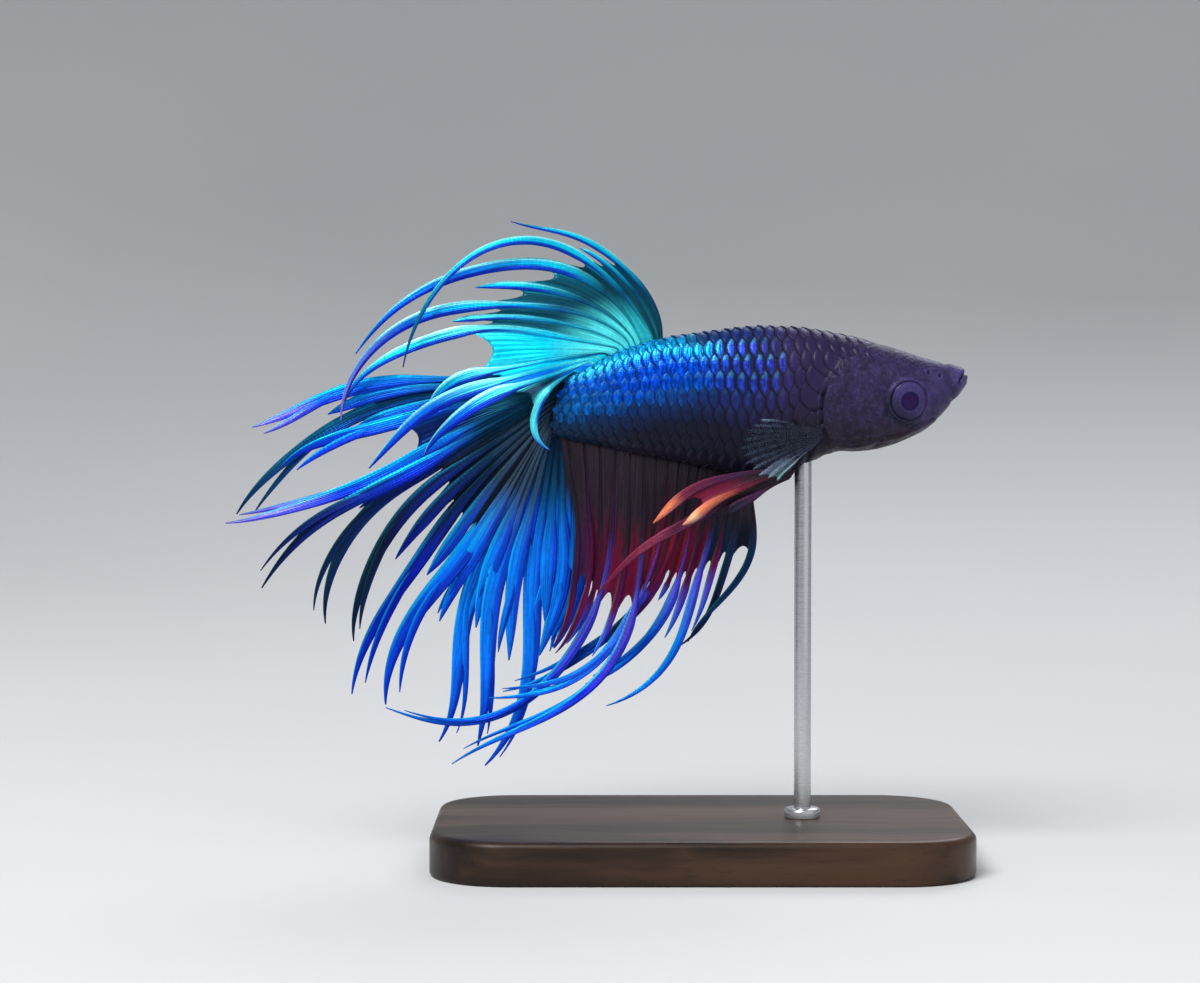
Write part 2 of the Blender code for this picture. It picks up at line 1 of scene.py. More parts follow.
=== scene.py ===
"""Looks of the crowntail betta held on its plain display stand.

Shapes are worked out in millimetres, +Z up, head toward +X, and the fish's
right flank toward -Y; MM turns them into the frame's metres.  Two places are
used over and over: "behind", the distance behind the snout's tip in mm, and
"around", the share 0..1 of the girth from the back over the right flank and
the belly and up the left flank.
"""
import bpy
import numpy as np
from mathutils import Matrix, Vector


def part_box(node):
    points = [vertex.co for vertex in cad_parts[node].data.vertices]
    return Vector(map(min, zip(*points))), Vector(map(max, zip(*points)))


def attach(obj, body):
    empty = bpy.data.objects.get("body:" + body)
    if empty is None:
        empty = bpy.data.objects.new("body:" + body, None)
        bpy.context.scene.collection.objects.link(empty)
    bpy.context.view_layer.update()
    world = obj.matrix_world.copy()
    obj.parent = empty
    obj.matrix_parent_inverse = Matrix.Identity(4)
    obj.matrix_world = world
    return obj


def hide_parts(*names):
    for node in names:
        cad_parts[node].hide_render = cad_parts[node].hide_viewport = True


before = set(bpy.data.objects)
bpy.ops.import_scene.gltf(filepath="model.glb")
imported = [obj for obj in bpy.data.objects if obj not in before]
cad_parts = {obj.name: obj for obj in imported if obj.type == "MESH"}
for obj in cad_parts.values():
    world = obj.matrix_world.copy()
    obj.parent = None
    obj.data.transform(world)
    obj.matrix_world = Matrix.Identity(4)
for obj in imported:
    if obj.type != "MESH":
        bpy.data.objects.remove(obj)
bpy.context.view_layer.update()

MM = 0.001


def span(node):
    """Lowest and highest corner of a node of the frame, in mm."""
    low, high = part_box(node)
    return np.array(low) / MM, np.array(high) / MM


# ---- body -------------------------------------------------------------------
SNOUT_X = float(span("head")[1][0])
BODY_LENGTH = 46.8
STALK_FROM = 36.0        # distance behind the snout where the tail stalk begins
STALK_REACH = 10.8       # length over which its end takes its slant and bulge
STALK_SLANT = 0.31       # forward lean of the stalk's end, mm per mm of height
STALK_BULGE = 0.9        # how far the stalk's end swells aft at mid height
SNOUT_DOME = 0.12        # how far the tip of the snout is rounded forward
COAT = 0.26              # depth of the scales over the skin

# distance behind the snout, height of back, height of belly, half width,
# how much wider the upper half is than the lower
STATIONS = np.array((
    (0.0, 56.7, 55.5, 0.60, 0.00),
    (0.4, 57.4, 54.9, 1.40, 0.00),
    (1.0, 57.7, 54.2, 1.95, 0.00),
    (2.8, 58.1, 52.1, 2.80, 0.00),
    (4.0, 58.4, 50.9, 3.25, 0.00),
    (7.0, 59.3, 49.2, 4.05, 0.00),
    (10.3, 60.4, 48.1, 4.60, 0.03),
    (13.0, 61.2, 47.8, 4.90, 0.06),
    (15.0, 61.6, 47.8, 5.00, 0.08),
    (17.0, 62.0, 46.9, 4.95, 0.10),
    (19.0, 62.3, 46.0, 4.85, 0.12),
    (21.0, 62.4, 44.9, 4.70, 0.14),
    (23.2, 62.5, 44.0, 4.50, 0.16),
    (25.5, 62.4, 44.1, 4.25, 0.18),
    (28.2, 62.1, 45.2, 3.95, 0.18),
    (32.0, 61.6, 46.1, 3.50, 0.16),
    (35.3, 61.1, 46.8, 3.10, 0.13),
    (38.3, 60.3, 47.4, 2.70, 0.10),
    (41.4, 59.5, 48.3, 2.25, 0.06),
    (44.4, 58.3, 48.9, 1.75, 0.03),
    (46.8, 57.4, 49.4, 1.35, 0.00),
))
# lower boundary of the blue: distance behind the snout, share of the height
BLUE_EDGE = np.array(((0.0, 0.64), (20.0, 0.62), (31.0, 0.55), (36.5, 0.48), (42.5, 0.32),
                      (46.0, 0.22), (60.0, 0.22)))
# share of the height where the iridescence ends under the back, along the body
BLUE_TOP = np.array(((0.0, 0.79), (20.0, 0.80), (26.5, 0.87), (31.0, 0.92), (35.5, 0.99),
                     (38.5, 1.12), (46.8, 1.12)))

# ---- face: places in X and Z, radii and depths --------------------------------
LIP_DEPTH = 2.1          # the crease behind the lips, from the snout's tip
MOUTH_LINE = ((31.3, 57.00), (30.5, 56.75), (30.05, 56.15), (29.75, 55.30))
MOUTH_DEPTH = 0.30
NOSTRILS = ((27.6, 56.55), (26.3, 56.95))
NOSTRIL_DEPTH = 0.30
THROAT_FOLD = ((26.8, 51.6), (23.0, 49.9), (17.5, 48.7), (14.2, 49.2))
MOUTH_FOLD = ((28.6, 55.2), (27.4, 53.9), (27.3, 52.4))
GILL_CENTRE = (17.9, 52.4)
GILL_RADII = (3.9, 5.5)
GILL_CREASE = 1.08       # the crease round the cover, as a share of those radii
ORBIT_DEPTH = 0.62
EYE_LOW, EYE_HIGH = span("eye_right")
EYE_SHIFT = (-0.6, 0.0, -0.22)        # from the solid's middle to the eye's own
EYE_CENTRE = 0.5 * (EYE_LOW + EYE_HIGH) + EYE_SHIFT
EYE_RADIUS = 0.5 * (EYE_HIGH - EYE_LOW)
EYE_NARROW = 0.975       # the eye looks a little forward, so it is narrower in X
CHEEK_PLATE = 0.95       # size of the small plates on cheeks and crown
HEAD_GIRTH = 34.0        # length round the head, which spaces those plates

# ---- scales -----------------------------------------------------------------
SCALE_ROWS = 20          # rows all round: one centred on the back, one on the belly
SCALE_FIRST = 8.2        # first column behind the snout
SCALE_STEP = 1.45        # spacing of the columns at the front
SCALE_CLOSING = 0.0060   # how fast that spacing closes toward the tail
SCALE_COLUMNS = 32
SCALE_PATCH = 0.003      # breadth of one scale's patch on the map OFBake
PLATE_ROWS = 5           # points along one scale
PLATE_COLUMNS = 7        # points across it
PLATE_SINK = 0.05        # how deep a scale's root lies in the skin

# ---- fins -------------------------------------------------------------------
# Every ray: place along the base 0..1, heading at the root and at the tip
# (degrees, 0 forward, 90 up), length, how late it turns, extra curl of the last
# part (degrees), sideways sway at the tip, how far out the web holds it; then
# its tones at the root, halfway up the web, at the web's edge, beyond it and at
# the tip.  Every web: its tones at the root and at its edge.
DORSAL_RAYS = (
    (0.00, 88, 185, 23.6, 0.65, -23, 0.5, 11.0, "teal petrol cyan cyan royal"),
    (0.12, 119, 297, 41.2, 1.4, -33, -2.6, 12.0, "turquoise petrol cyan cyan navy"),
    (0.25, 111, 253, 40.4, 0.9, -23, 1.1, 14.0, "turquoise teal cyan azure azure"),
    (0.38, 112, 216, 41.5, 0.4, 55, -0.9, 18.0, "turquoise petrol cyan azure lavender"),
    (0.52, 168, 222, 34.5, 1.8, 28, -0.7, 17.3, "turquoise cyan ice cyan azure"),
    (0.65, 187, 223, 23.0, 4.0, 36, -1.5, 14.6, "petrol cyan ice cyan azure"),
    (0.74, 192, 252, 30.1, 2.4, -23, -2.3, 12.5, "ice cyan ice azure blue"),
    (0.82, 199, 205, 22.4, 1.0, 47, -2.7, 10.0, "ice cyan ice azure blue"),
    (1.00, 214, 363, 11.5, 2.2, -36, -3.0, 6.0, "cyan ice ice ice azure"),
)
DORSAL_WEBS = ("teal teal", "turquoise teal", "ice teal", "ice teal",
               "ice cyan", "cyan cyan", "cyan azure", "azure ink")
CAUDAL_RAYS = (
    (0.02, 182, 226, 38.0, 2.7, -26, 0.4, 24.0, "teal petrol azure blue lavender"),
    (0.11, 188, 256, 43.5, 3.0, -12, 2.3, 23.0, "teal petrol petrol petrol ink"),
    (0.18, 200, 187, 34.5, 0.4, 39, 0.6, 19.5, "teal petrol azure blue blue"),
    (0.25, 205, 217, 42.5, 2.4, -37, 1.3, 19.0, "teal petrol azure blue lavender"),
    (0.32, 208, 234, 42.0, 3.8, 1, 0.4, 19.0, "teal petrol blue navy night"),
    (0.42, 210, 282, 40.0, 3.7, -1, 1.9, 18.5, "teal ink navy ink ink"),
    (0.48, 215, 291, 38.0, 3.3, -11, 0.6, 17.5, "slate ink navy night ink"),
    (0.60, 224, 262, 41.0, 2.3, -3, 2.0, 18.5, "slate ink navy royal blue"),
    (0.67, 243, 230, 39.0, 0.4, 38, 0.7, 17.5, "slate slate azure blue blue"),
    (0.77, 241, 304, 39.5, 2.1, -64, 2.1, 15.0, "slate slate azure azure blue"),
    (0.82, 248, 280, 38.0, 1.6, -18, 0.9, 16.0, "slate slate azure azure blue"),
    (0.90, 261, 271, 40.0, 1.0, -45, 2.3, 14.0, "ink petrol azure azure blue"),
    (0.95, 285, 262, 25.5, 0.3, -16, 1.4, 13.5, "ink petrol azure azure azure"),
    (1.00, 286, 267, 24.6, 0.3, -35, 1.8, 14.0, "umber ink azure azure blue"),
)
# how far each web of the tail is drawn back, as a share of its length
CAUDAL_NOTCH = (0.05, 0.05, 0.07, 0.12) + (0.16,) * 9
CAUDAL_WEBS = ("teal navy", "teal ink", "teal navy", "ink navy", "ink night",
               "ink night", "ink night", "night night", "night ink",
               "ink royal", "ink blue", "ink azure", "umber azure")
ANAL_RAYS = (
    (0.00, 275, 126, 20.5, 2.1, 124, 0.0, 7.5, "umber umber ink ink ink"),
    (0.07, 264, 194, 21.0, 2.8, 23, 0.9, 8.5, "umber umber ink night ink"),
    (0.16, 257, 206, 31.5, 2.9, -8, -0.7, 12.0, "umber umber violet azure azure"),
    (0.27, 255, 186, 30.0, 3.4, 4, 1.5, 13.8, "umber wine violet azure azure"),
    (0.37, 265, 186, 36.5, 1.2, 4, 0.3, 13.5, "umber umber wine navy azure"),
    (0.50, 267, 148, 38.5, 1.9, 38, -2.2, 16.2, "umber wine violet azure azure"),
    (0.64, 271, 120, 46.0, 2.1, 90, -4.6, 17.8, "umber umber violet royal azure"),
    (0.81, 267, 24, 49.0, 2.8, 141, -0.8, 18.3, "umber plum violet blue azure"),
    (1.00, 275, 257, 25.0, 1.6, -38, -1.2, 17.0, "umber plum wine wine plum"),
    (1.10, 277, 191, 24.3, 3.8, 37, -0.8, 17.0, "umber umber plum wine plum"),
)
ANAL_WEBS = ("umber night", "umber ink", "umber wine", "umber red", "umber red",
             "umber red", "umber wine", "umber wine", "umber plum")
PELVIC_RAYS = (
    (0.00, 176, 232, 17.0, 1.1, -10, 3.0, 12.5, "umber plum wine orange orange"),
    (0.35, 190, 232, 13.2, 1.1, -26, 2.5, 10.5, "umber wine orange cream orange"),
    (0.70, 197, 226, 25.5, 1.0, 0, 2.0, 10.5, "umber umber plum wine wine"),
    (1.00, 204, 214, 7.0, 1.0, 0, 1.4, 6.0, "umber plum night night night"),
)
PELVIC_WEBS = ("umber wine", "umber orange", "umber plum")
# the palest tones on the uppermost ray, on the two lowest rays and in the lowest web are painted
# glints
PECTORAL_RAYS = (
    (0.00, 164, 176, 6.6, 1.0, 0, 3.0, 6.2, "slate slate mist slate slate"),
    (0.20, 172, 186, 7.9, 1.0, 0, 3.4, 7.6, "slate slate slate slate slate"),
    (0.40, 182, 196, 8.6, 1.0, 0, 3.5, 8.3, "slate slate slate slate slate"),
    (0.60, 192, 206, 8.4, 1.0, 0, 3.4, 8.1, "slate slate haze haze slate"),
    (0.80, 203, 217, 7.4, 1.0, 0, 3.1, 7.1, "slate haze mist mist haze"),
    (1.00, 215, 229, 5.8, 1.0, 0, 2.6, 5.5, "slate mist foam mist haze"),
)
PECTORAL_WEBS = ("slate slate",) * 3 + ("slate haze", "haze mist")
# slighter rays between two named ones: which gap, how far into the free part
DORSAL_BETWEEN = {0: 0.12, 2: 0.2, 3: 0.14}
CAUDAL_BETWEEN = {0: 0.3, 1: 0.2, 3: 0.3, 4: 0.35, 6: 0.35, 7: 0.25, 8: 0.45, 9: 0.4,
                  10: 0.5, 11: 0.4}
ANAL_BETWEEN = {1: 0.5, 2: 0.4, 3: 0.12, 4: 0.1, 5: 0.2, 6: 0.2, 7: 0.3}
SLIGHT_ANAL_TONES = "umber umber wine violet azure"
PECTORAL_BETWEEN = dict.fromkeys(range(5), 0.8)
DORSAL_BASE = (-4.4, -14.75)          # first and last ray along X
ANAL_BASE = (6.0, -13.5)
BASE_GAP = 0.4           # how far the roots stand off the midline's edge
CAUDAL_BASE = np.array((              # place 0..1, X, Z: wraps the stalk's end
    (0.00, -15.00, 57.1), (0.30, -16.65, 55.1), (0.60, -17.60, 52.2),
    (0.80, -17.65, 50.2), (0.91, -17.05, 49.1), (1.00, -15.30, 48.7)))
PELVIC_ROOT = np.array(((9.7, -3.0, 45.6), (9.2, -2.2, 44.2)))
PECTORAL_ROOT = np.array(((13.0, -4.75, 50.4), (12.9, -4.25, 48.4)))
ROOT_SINK = 1.5          # how deep the rays start inside the body
WANDER = 5.0             # slow side to side turning of a ray, degrees

# ---- tones (display values 0..255) ------------------------------------------
# three of these, a pale blue-white, a pale green-white and a pink, serve only as painted
# highlights and glints on the fins
TONES = {
    "night": (7, 20, 38), "ink": (8, 40, 66), "teal": (8, 72, 92),
    "petrol": (6, 84, 128), "turquoise": (40, 178, 190),
    "cyan": (0, 205, 240), "ice": (88, 240, 248), "azure": (0, 126, 252),
    "blue": (0, 72, 228), "royal": (4, 26, 178), "navy": (4, 30, 92), "violet": (96, 84, 216),
    "lavender": (158, 144, 240), "plum": (62, 26, 66), "wine": (104, 16, 50),
    "red": (142, 24, 46), "orange": (228, 124, 74), "cream": (248, 204, 150),
    "umber": (45, 36, 46), "slate": (62, 84, 104), "mist": (168, 190, 220),
    "haze": (84, 100, 140), "hide": (40, 31, 66), "throat": (38, 28, 38),
    "chest": (33, 29, 44), "lip": (74, 64, 122), "flank": (1, 30, 80), "foam": (140, 240, 236),
    "highlight_rose": (196, 96, 120), "pupil": (6, 4, 62), "iris": (38, 29, 64), "dusk": (15, 18, 38),
    "scale_blue": (0, 80, 232), "scale_violet": (48, 74, 214),
    "scale_cyan": (20, 186, 236), "scale_teal": (2, 104, 176),
}
# tints that the materials add themselves (linear values)
TINTS = {
    "violet_bloom": (0.10, 0.075, 0.24), "violet_speck": (0.14, 0.10, 0.32),
    "pigment": (0.012, 0.006, 0.020), "scale_top_highlight": (0.10, 0.52, 0.80),
    "scale_rim": (0.004, 0.004, 0.012), "eye_fleck": (0.16, 0.09, 0.30),
    "wood_dark": (0.010, 0.0055, 0.0035), "wood_light": (0.062, 0.030, 0.016),
    "wood_pore": (0.004, 0.002, 0.0015), "steel_dim": (0.55, 0.56, 0.58),
    "steel_pale": (0.61, 0.62, 0.64), "paper_dim": (0.60, 0.61, 0.62),
    "paper_pale": (0.65, 0.655, 0.66),
}


def tone(name):
    """Linear colour of a named display colour: the standard display curve, a
    straight piece near black and a power of 2.4 above it."""
    c = np.array(TONES[name]) / 255.0
    return np.where(c <= 0.04045, c / 12.92, ((c + 0.055) / 1.055) ** 2.4)


def tint(name):
    """A material's own colour, opaque."""
    return TINTS[name] + (1.0,)


def smoothstep(t):
    """0 below 0, 1 above 1, and three t squared less two t cubed between."""
    t = np.clip(t, 0.0, 1.0)
    return t * t * (3.0 - 2.0 * t)


def mix(a, b, share):
    """a where share is 0, b where it is 1; share gains a colour axis."""
    share = np.clip(share, 0.0, 1.0)[..., None]
    return a * (1.0 - share) + b * share


def layered(base, layers):
    """Named tones mixed over a base one after another, each by its own share."""
    for name, share in layers:
        base = mix(base, tone(name), share)
    return base


def bell(d, width):
    """Bell curve: e to the power of minus the square of d over width."""
    return np.exp(-(d / width) ** 2)


def flow(x, xs, ys):
    """Smooth curve through the points (xs, ys): between two points a cubic that
    takes their heights and the slopes that np.gradient gives there."""
    slope = np.gradient(ys, xs)
    x = np.clip(np.asarray(x, float), xs[0], xs[-1])
    i = np.clip(np.searchsorted(xs, x, side="right") - 1, 0, len(xs) - 2)
    w = xs[i + 1] - xs[i]
    t = (x - xs[i]) / w
    a = (1 + 2 * t) * (1 - t) ** 2 * ys[i]
    b = t * (1 - t) ** 2 * w * slope[i]
    c = t * t * (3 - 2 * t) * ys[i + 1]
    d = t * t * (t - 1) * w * slope[i + 1]
    return a + b + c + d


def unit(v):
    """Vectors divided by their own length."""
    return v / np.maximum(np.linalg.norm(v, axis=-1, keepdims=True), 1e-9)


# ---- body form -----------------------------------------------------------------
def station(behind):
    """Back, belly, half width and lean at a distance behind the snout: a smooth
    curve through each column of STATIONS."""
    return [flow(behind, STATIONS[:, 0], STATIONS[:, k]) for k in range(1, 5)]


def body_point(behind, angle):
    """Ellipse on edge at each distance behind the snout: y is the half width
    times the cosine of the angle, wider above by the lean, and z the half
    height times its sine.  The stalk's end leans forward at the top and swells
    aft at mid height."""
    back, belly, half, lean = station(behind)
    mid = 0.5 * (back + belly)
    late = smoothstep((behind - STALK_FROM) / STALK_REACH)
    up = np.sin(angle)
    y = half * np.cos(angle) * (1.0 + lean * up)
    z = mid + 0.5 * (back - belly) * up
    x = SNOUT_X - behind + STALK_SLANT * late * (z - mid)
    x = x - STALK_BULGE * late * (1.0 - up * up)
    return np.stack([x, y, z], axis=-1)


def girth_table(rings=160, steps=240, fine=721):
    """Angle at each even share of the girth, at even distances behind the snout:
    the length run round a finely stepped ring, read backwards."""
    behind = np.linspace(0.0, BODY_LENGTH, rings)
    angle = 0.5 * np.pi + np.linspace(0.0, 2 * np.pi, fine)
    ring = body_point(behind[:, None], angle[None, :])
    step = np.linalg.norm(np.diff(ring, axis=1), axis=2)
    run = np.concatenate([np.zeros((rings, 1)), np.cumsum(step, axis=1)], axis=1)
    share = np.linspace(0.0, 1.0, steps + 1)
    return np.array([np.interp(share, r / r[-1], angle) for r in run])


GIRTH = girth_table()


def surface(behind, around):
    """Body surface at a distance behind the snout and a share of the girth: the
    angle is blended from the four nearest places of the girth table."""
    rings, steps = GIRTH.shape
    b = np.clip(behind / BODY_LENGTH, 0.0, 1.0) * (rings - 1)
    q = (around % 1.0) * (steps - 1)
    i = np.minimum(b.astype(int), rings - 2)
    j = np.minimum(q.astype(int), steps - 2)
    fb, fq = b - i, q - j
    low = GIRTH[i, j] * (1 - fq) + GIRTH[i, j + 1] * fq
    high = GIRTH[i + 1, j] * (1 - fq) + GIRTH[i + 1, j + 1] * fq
    return body_point(np.clip(behind, 0.0, BODY_LENGTH), low * (1 - fb) + high * fb)


def surface_normal(behind, around, near=0.05, turn=0.004):
    """Outward direction: aft slope crossed with the slope round the girth, each
    the difference of two points a little to either side."""
    inner = np.clip(behind, near, BODY_LENGTH - near)
    aft = surface(inner + near, around) - surface(inner - near, around)
    round_ = surface(inner, around + turn) - surface(inner, around - turn)
    return unit(np.cross(aft, round_))


# ---- relief of the skin -------------------------------------------------------
def line_distance(x, z, points):
    """Distance to a bent line in XZ, and how far along it (0..1) that is: the
    nearest of its straight pieces, each ended at its two points."""
    best = np.full(np.shape(x), 99.0)
    place = np.zeros(np.shape(x))
    pts = np.array(points)
    run = np.r_[0.0, np.cumsum(np.hypot(*np.diff(pts, axis=0).T))]
    for k in range(len(pts) - 1):
        step = pts[k + 1] - pts[k]
        t = ((x - pts[k, 0]) * step[0] + (z - pts[k, 1]) * step[1]) / (step @ step)
        t = np.clip(t, 0.0, 1.0)
        d = np.hypot(x - pts[k, 0] - t * step[0], z - pts[k, 1] - t * step[1])
        near = d < best
        best = np.where(near, d, best)
        place = np.where(near, (run[k] + t * (run[k + 1] - run[k])) / run[-1], place)
    return best, place


def eye_reach(x, z):
    """Distance from the eye's middle, seen along the eye's own axis."""
    return np.hypot((x - EYE_CENTRE[0]) / EYE_NARROW, z - EYE_CENTRE[2])


def below_eye(x, z):
    """1 behind and below the eye, 0 before and above it: smoothstep of a sum of
    the distances aft and down from the eye's middle, over 2.6 mm."""
    aft, down = EYE_CENTRE[0] - x, EYE_CENTRE[2] - z
    return smoothstep((0.35 + 0.75 * aft + 0.85 * down) / 2.6)


def gill_reach(x, z):
    """0 at the gill cover's middle, 1 on its edge: x and z from the middle, each
    over its radius, squared, added and rooted."""
    return np.hypot((x - GILL_CENTRE[0]) / GILL_RADII[0],
                    (z - GILL_CENTRE[1]) / GILL_RADII[1])


def gill_rear(x, z):
    """Where the gill cover's edge is free: a smoothstep aft of its middle, times
    a falling one above it and a rising one below."""
    aft = smoothstep((GILL_CENTRE[0] + 0.4 - x) / 3.0)
    above = 1.0 - 0.9 * smoothstep((z - 54.0) / 2.0)
    return aft * above * (0.55 + 0.45 * smoothstep((z - 48.6) / 2.5))


def mouth_fade(place):
    """1 along the mouth's line, falling to 0 over its last 0.3."""
    return 1.0 - smoothstep((place - 0.70) / 0.30)


def lip_distance(behind, z):
    """Distance behind the crease that ends the lips, which leans aft upward."""
    return behind - LIP_DEPTH - 0.20 * (z - 56.0)


def lateral_height(x):
    """Height of the lateral line: level, then 3.2 mm lower by a smoothstep."""
    return 55.6 - 3.2 * smoothstep((9.0 - x) / 9.0)


def scaled_share(behind, x, z):
    """1 where scales cover the skin: outside the gill cover, and behind a start
    that lies 6.6 mm farther forward on the nape than on the chest."""
    clear = smoothstep((gill_reach(x, z) - 1.10) / 0.12)
    level = smoothstep((z - 51.0) / 6.0)
    start = 15.4 - 6.6 * level
    return clear * smoothstep((behind - start) / 1.2)


def coat_depth(behind):
    """Depth of the scales: shallow on the nape, full behind the shoulder."""
    return COAT * (0.26 + 0.74 * smoothstep((behind - 12.0) / 8.0))


def small_plates(behind, around, size):
    """Two staggered lattices of ramps, each rising aft and falling off aside as
    one less the cube of the distance from its middle line."""
    u = behind / size
    v = around * HEAD_GIRTH / size
    height = np.zeros(np.shape(u))
    for shift in (0.0, 0.5):
        row = v + shift
        local = (u + shift) % 1.0
        aside = np.abs((row % 1.0) - 0.5) * 2.0
        bulge = local + 0.35 * aside * aside
        height = np.maximum(height, np.where(bulge < 1.0, bulge, 0.0) * (1 - aside ** 3))
    return height


def gill_relief(x, z, flank):
    """The gill cover swells as a smoothstep toward its free rear edge, with a
    crease behind that; a ridge of bone and a shallow groove, both bells of the
    reach, run before its front."""
    reach = gill_reach(x, z)
    rear = gill_rear(x, z) * flank
    within = 1.0 - smoothstep((reach - 0.98) / 0.08)
    lift = 0.24 * rear * smoothstep((reach - 0.25) / 0.7) * within
    lift = lift - 0.34 * rear * bell(reach - GILL_CREASE, 0.06)
    front = smoothstep((x - 17.6) / 1.5) * flank
    return lift + 0.10 * front * bell(reach - 0.74, 0.10) - 0.12 * front * bell(reach - 0.93, 0.07)


def orbit_relief(x, z):
    """Orbit: a round recess by a smoothstep, a raised rim and a soft ditch round
    it, and a deeper one behind and below the eye."""
    r = eye_reach(x, z)
    lift = -ORBIT_DEPTH * (1.0 - smoothstep((r - 2.06) / 0.17))
    lift = lift + 0.11 * bell(r - 2.44, 0.17) - 0.06 * bell(r - 2.95, 0.28)
    return lift - 0.10 * bell(r - 2.75, 0.30) * below_eye(x, z)


def mouth_relief(x, z, behind):
    """Mouth: a bell-shaped groove along its line between two swollen lips, closing
    at the corner, and the crease that ends the lips."""
    d, place = line_distance(x, z, MOUTH_LINE)
    open_ = mouth_fade(place)
    lift = 0.11 * open_ * bell(d - 0.42, 0.24) - MOUTH_DEPTH * open_ * bell(d, 0.12)
    crease = lip_distance(behind, z)
    return lift - 0.11 * bell(crease, 0.34) + 0.05 * bell(crease + 0.8, 0.4)


def fold_relief(x, z):
    """Folds of the skin along the throat and behind the mouth: bells of the
    distance to their lines, the first with a low ridge beside it."""
    throat, _ = line_distance(x, z, THROAT_FOLD)
    corner, _ = line_distance(x, z, MOUTH_FOLD)
    return 0.10 * bell(throat - 0.38, 0.2) - 0.22 * bell(throat, 0.16) - 0.07 * bell(corner, 0.2)


def nostril_relief(x, z):
    """Two small pits on each side, each a bell with a raised ring round it."""
    lift = 0.0
    for at in NOSTRILS:
        n = np.hypot(x - at[0], z - at[1])
        lift = lift + 0.07 * bell(n - 0.30, 0.11) - NOSTRIL_DEPTH * bell(n, 0.15)
    return lift


def relief(p, behind, around):
    """Height of the skin above the plain body form, mm: the parts of the face
    added up, less the depth of the scales where they cover it, small plates on
    cheeks and crown where they don't, and the groove of the lateral line."""
    x, y, z = p[..., 0], p[..., 1], p[..., 2]
    flank = smoothstep(np.abs(y) / 1.2)
    covered = scaled_share(behind, x, z)
    lift = gill_relief(x, z, flank) + orbit_relief(x, z) + mouth_relief(x, z, behind)
    lift = lift + fold_relief(x, z) + nostril_relief(x, z) - coat_depth(behind) * covered
    clear = smoothstep((behind - 3.4) / 2.5) * smoothstep((eye_reach(x, z) - 2.6) / 0.5)
    bare = (1.0 - covered) * clear
    lift = lift + 0.05 * bare * small_plates(behind, around, CHEEK_PLATE)
    return lift - 0.05 * covered * bell(z - lateral_height(x), 0.14)


# ---- markings and painted light, shared by the skin and the scales ----------------
def ripple(p, size, seed):
    """Soft unevenness 0..1: six crossed sine waves of about the given size, mm,
    added, cut off at four and brought to the range 0..1."""
    rng = np.random.default_rng(seed)
    total = np.zeros(p.shape[:-1])
    for _ in range(6):
        way = rng.normal(size=3)
        way /= np.linalg.norm(way) * size / (2 * np.pi) * rng.uniform(0.7, 1.4)
        total = total + np.sin(p @ way + rng.uniform(0, 6.28))
    return 0.5 + 0.5 * np.clip(total / 4.0, -1.0, 1.0)


def body_tones(shape, behind, h, blue_edge):
    """Tones of the body by height share h and distance behind the snout: hide
    above and throat below, then chest, dusk and umber along the belly, the blue
    above its lower boundary, petrol and ink at the tail's root.  Each goes on by
    the product of a smoothstep along the body and one of the height."""
    rear = smoothstep((behind - 37.0) / 8.0)
    blue = smoothstep((behind - 20.0) / 7.0) * smoothstep((h - blue_edge + 0.25) / 0.29)
    layers = (
        ("throat", smoothstep((0.40 - h) / 0.4)),
        ("chest", smoothstep((behind - 14) / 5) * smoothstep((0.55 - h) / 0.3)),
        ("dusk", smoothstep((behind - 20) / 8) * smoothstep((0.55 - h) / 0.2)),
        ("umber", 0.5 * smoothstep((behind - 22) / 8) * smoothstep((0.2 - h) / 0.2)),
        ("flank", 0.9 * blue),
        ("petrol", 0.7 * rear * smoothstep((h - blue_edge) / 0.3)),
        ("ink", 0.7 * rear * smoothstep((0.36 - h) / 0.2)),
    )
    return layered(tone("hide") * np.ones(shape), layers)


def mouth_tones(base, x, z, behind):
    """Paler toward the snout's tip and on the lips; painted shade, night, in the
    mouth's line and in the crease behind the lips; bells of the distance to each."""
    d, place = line_distance(x, z, MOUTH_LINE)
    crease = lip_distance(behind, z)
    layers = (
        ("lip", 0.36 * (1.0 - smoothstep((behind - 2.0) / 6.0))),
        ("lip", 0.55 * (1.0 - smoothstep((crease + 0.9) / 0.7))),
        # painted shade in the crease behind the lips
        ("night", 0.40 * bell(crease, 0.45)),
        ("lip", 0.5 * mouth_fade(place) * bell(d - 0.42, 0.2)),
        # painted shade in the mouth's line
        ("night", 0.85 * mouth_fade(place) * bell(d, 0.17)),
    )
    return layered(base, layers)


